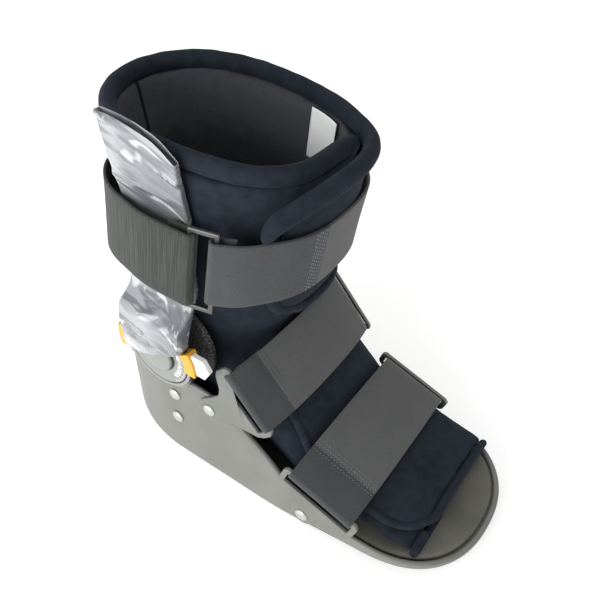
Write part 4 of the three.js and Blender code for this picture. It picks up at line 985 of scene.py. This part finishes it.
for name, strap in FOOT_STRAPS.items():
    slope = math.radians(strap["turn"])
    out_line = Vector((0, -math.sin(slope), math.cos(slope)))
    down_line = Vector((0, -math.cos(slope), -math.sin(slope)))
    root = Vector((0, strap["y"], strap["z"]))
    bar_out = strap["reach"] - BAR / 2
    loop_across, loop_out = TAB_THICK / 2 + 0.8, BAR / 2 + 0.8
    left_bar, right_bar = strap["bars"]
    centre, half = (left_bar + right_bar) / 2, (right_bar - left_bar) / 2

    def crown(x):
        return bar_out + loop_out + CROWN_RISE * (1 - min(1, abs((x - centre) / half)) ** 2.5)

    # The tape in section: its tucked end, the loop round the left bar, the crown, the right end.
    spots = [left_bar + TUCK_LENGTH - 2 * i for i in range(7)]
    fold = [Vector((x, 0, crown(x) - TUCK_UNDER)) for x in spots]
    turns = [math.radians(mix(330, 100, i)) for i in steps_of(20)]
    fold += [Vector((left_bar + loop_across * math.cos(turn), 0, bar_out + loop_out * math.sin(turn)))
             for turn in turns]
    spots = [mix(left_bar, right_bar - 18, i) for i in steps_of(60)]
    section = fold + [Vector((x, 0, crown(x))) for x in spots]
    section += [Vector((right_bar + along(THREADED, 8 * i, 1), 0, bar_out + along(THREADED, 8 * i, 2)))
                for i in steps_of(48)]
    at, length = run_of(section)

    def strap_point(share, across):
        spot = at(share)
        ripple = 0.35 * noise.noise(Vector((spot.x * 0.06, across * 2.5, strap["turn"])))
        return root + Vector((spot.x, 0, 0)) + out_line * (spot.z + ripple) + down_line * (
            strap["middle"] + (across - 0.5) * (strap["width"] - 0.4))

    tape = skin(name + "_tape", 260, 16, strap_point, STRAP_THICK)
    rounded(tape, TAPE_EDGE, 2, 50)
    webbing(name + "_cloth", run_of(fold)[1] + strap["seam"], length, False).on(tape)
    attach(tape, "boot")
    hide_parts(name)

    spots = []
    for offset in STITCH_ROWS:
        x = left_bar + strap["seam"] + offset
        for step in range(STITCHES_A_ROW):
            across = (step + 0.75) / (STITCHES_A_ROW + 0.5)
            slant = (x - centre) / half
            lift = out_line * (crown(x) + STRAP_THICK / 2 + 0.12)
            down = down_line * (strap["middle"] + (across - 0.5) * strap["width"])
            spot = root + Vector((x, 0, 0)) + lift + down
            spots.append((spot, down_line, (out_line + Vector((0.3 * slant, 0, 0))).normalized()))
    stitches(name + "_stitches", spots, 1.3, 0.42, thread if name == "forefoot_strap" else dark_thread)


# Calf strap: a wide ribbed band round the back and a narrower smooth band round the front, joined on
# the left by a plastic ring, both leaning with the leg.
CALF_HALF_WIDTH, CALF_FRONT, CALF_BACK, CALF_POWER = 65, 78.8, 72, 2.6
BAND_LOW, CALF_TOP = 162, 215
BAND_THICK, BAR_CLIMB, UNDER_LIFT = 1.8, 3.2, -3.1
RING_ANGLE, RING_STAND, RING_OUT, RING_BAR = 72, 0.8, 7.75, (3.2, 2.2)


def calf_point(angle, lift):
    turn = math.radians(angle)
    depth = CALF_FRONT if math.cos(turn) > 0 else CALF_BACK
    return Vector((-(CALF_HALF_WIDTH + lift) * power(math.sin(turn), CALF_POWER),
                   -(depth + lift) * power(math.cos(turn), CALF_POWER), 0))


def leaned(point, z):
    """A plan point at its height, moved with the lean of the leg."""
    return Vector((point.x, point.y + mix(-1.5, -11, (z - BAND_LOW) / 53), z))


forward = (calf_point(RING_ANGLE - 3, 0) - calf_point(RING_ANGLE + 3, 0)).normalized()
inward = Vector((-forward.y, forward.x, 0))
ring_middle = calf_point(RING_ANGLE, -1) - inward * RING_STAND
bar_loop = math.hypot(*RING_BAR) / 2 + 0.3 + 1


def bar_turn(sign):
    """Half a turn round one bar of the ring, from the inside out."""
    bar = ring_middle + forward * (RING_OUT * sign)
    turns = [math.radians(mix(180, 0, i)) for i in steps_of(12)]
    return [bar - inward * (bar_loop * math.cos(turn)) - forward * (sign * bar_loop * math.sin(turn))
            for turn in turns]


def arc(start, end, lift, steps, rise=0.0):
    """Plan points round the leg, lifted at the start where the band climbs over the ring's bar."""
    angles = [mix(start, end, i) for i in steps_of(steps)]
    return [calf_point(angle, lift + rise * (1 - smooth(abs(angle - start) / 24))) for angle in angles]


front_start = arc(57, 59, UNDER_LIFT, 4) + bar_turn(1)
rear_start = arc(87, 85, UNDER_LIFT, 4) + bar_turn(-1)
front_seam = run_of(front_start + arc(60, 9.4, -1, 60, BAR_CLIMB))[1]
# Each band: its line in plan from the ring on, its lowest and highest level, where its seam lies, and
# whether it is ribbed.
CALF_BANDS = {
    "calf_strap_front": (front_start + arc(60, -100, -1, 110, BAR_CLIMB), 169, 214, front_seam, False),
    "calf_strap_rear": (rear_start + arc(84, 259, -1, 110, BAR_CLIMB), BAND_LOW, CALF_TOP, 0, True),
}
for name, (line, low, high, seam, ribbed) in CALF_BANDS.items():
    at, length = run_of(line)

    def band_point(share, across):
        spot = at(share)
        z = mix(low + 0.3, high - 0.3, across)
        ripple = 0.45 * noise.noise(Vector((spot.x * 0.035, spot.y * 0.035, z * 0.03)))
        out = Vector((spot.x, spot.y, 0)).normalized()
        return leaned(spot + out * ripple, z)

    band = skin(name + "_tape", 300, 14, band_point, BAND_THICK)
    rounded(band, TAPE_EDGE, 2, 50)
    webbing(name + "_cloth", seam, length, ribbed).on(band)
    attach(band, "boot")
    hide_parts(name)

# The front band's seam: rows of stitches at angles round the leg, every other row half a stitch up.
SEAM_ROWS, SEAM_STITCHES, SEAM_LOW, SEAM_HIGH = (15.6, 14.2, 12.8, 11.4, 10), 17, 170.5, 212.5
band_spots = []
for row, angle in enumerate(SEAM_ROWS):
    for step in range(SEAM_STITCHES):
        z = mix(SEAM_LOW, SEAM_HIGH, (step + 0.5 * (row % 2)) / (SEAM_STITCHES - 0.5))
        spot = leaned(calf_point(angle, 0.05), z)
        outside = (calf_point(angle, 1) - calf_point(angle, 0)).normalized()
        band_spots.append((spot, Vector((0.25, 0, 1)), outside))
stitches("calf_strap_stitches", band_spots, 1.6, 0.5, thread)


# Calf ring: a slim dark rectangular loop of glossy plastic between the two bands.
ring_paint = Finish("ring_plastic", Specular_IOR_Level=0.6, Coat_Weight=0.3, Coat_Roughness=0.15)
polish = ring_paint.cloud(200, 3)
ring_paint.feed("Base Color", ring_paint.blend(polish, linear(44, 45, 44), linear(62, 63, 61)))
ring_paint.feed("Roughness", 0.22 + 0.15 * polish)
ring_paint.relief((polish, 0.08))
softened("calf_ring", 0.9, ring_paint)
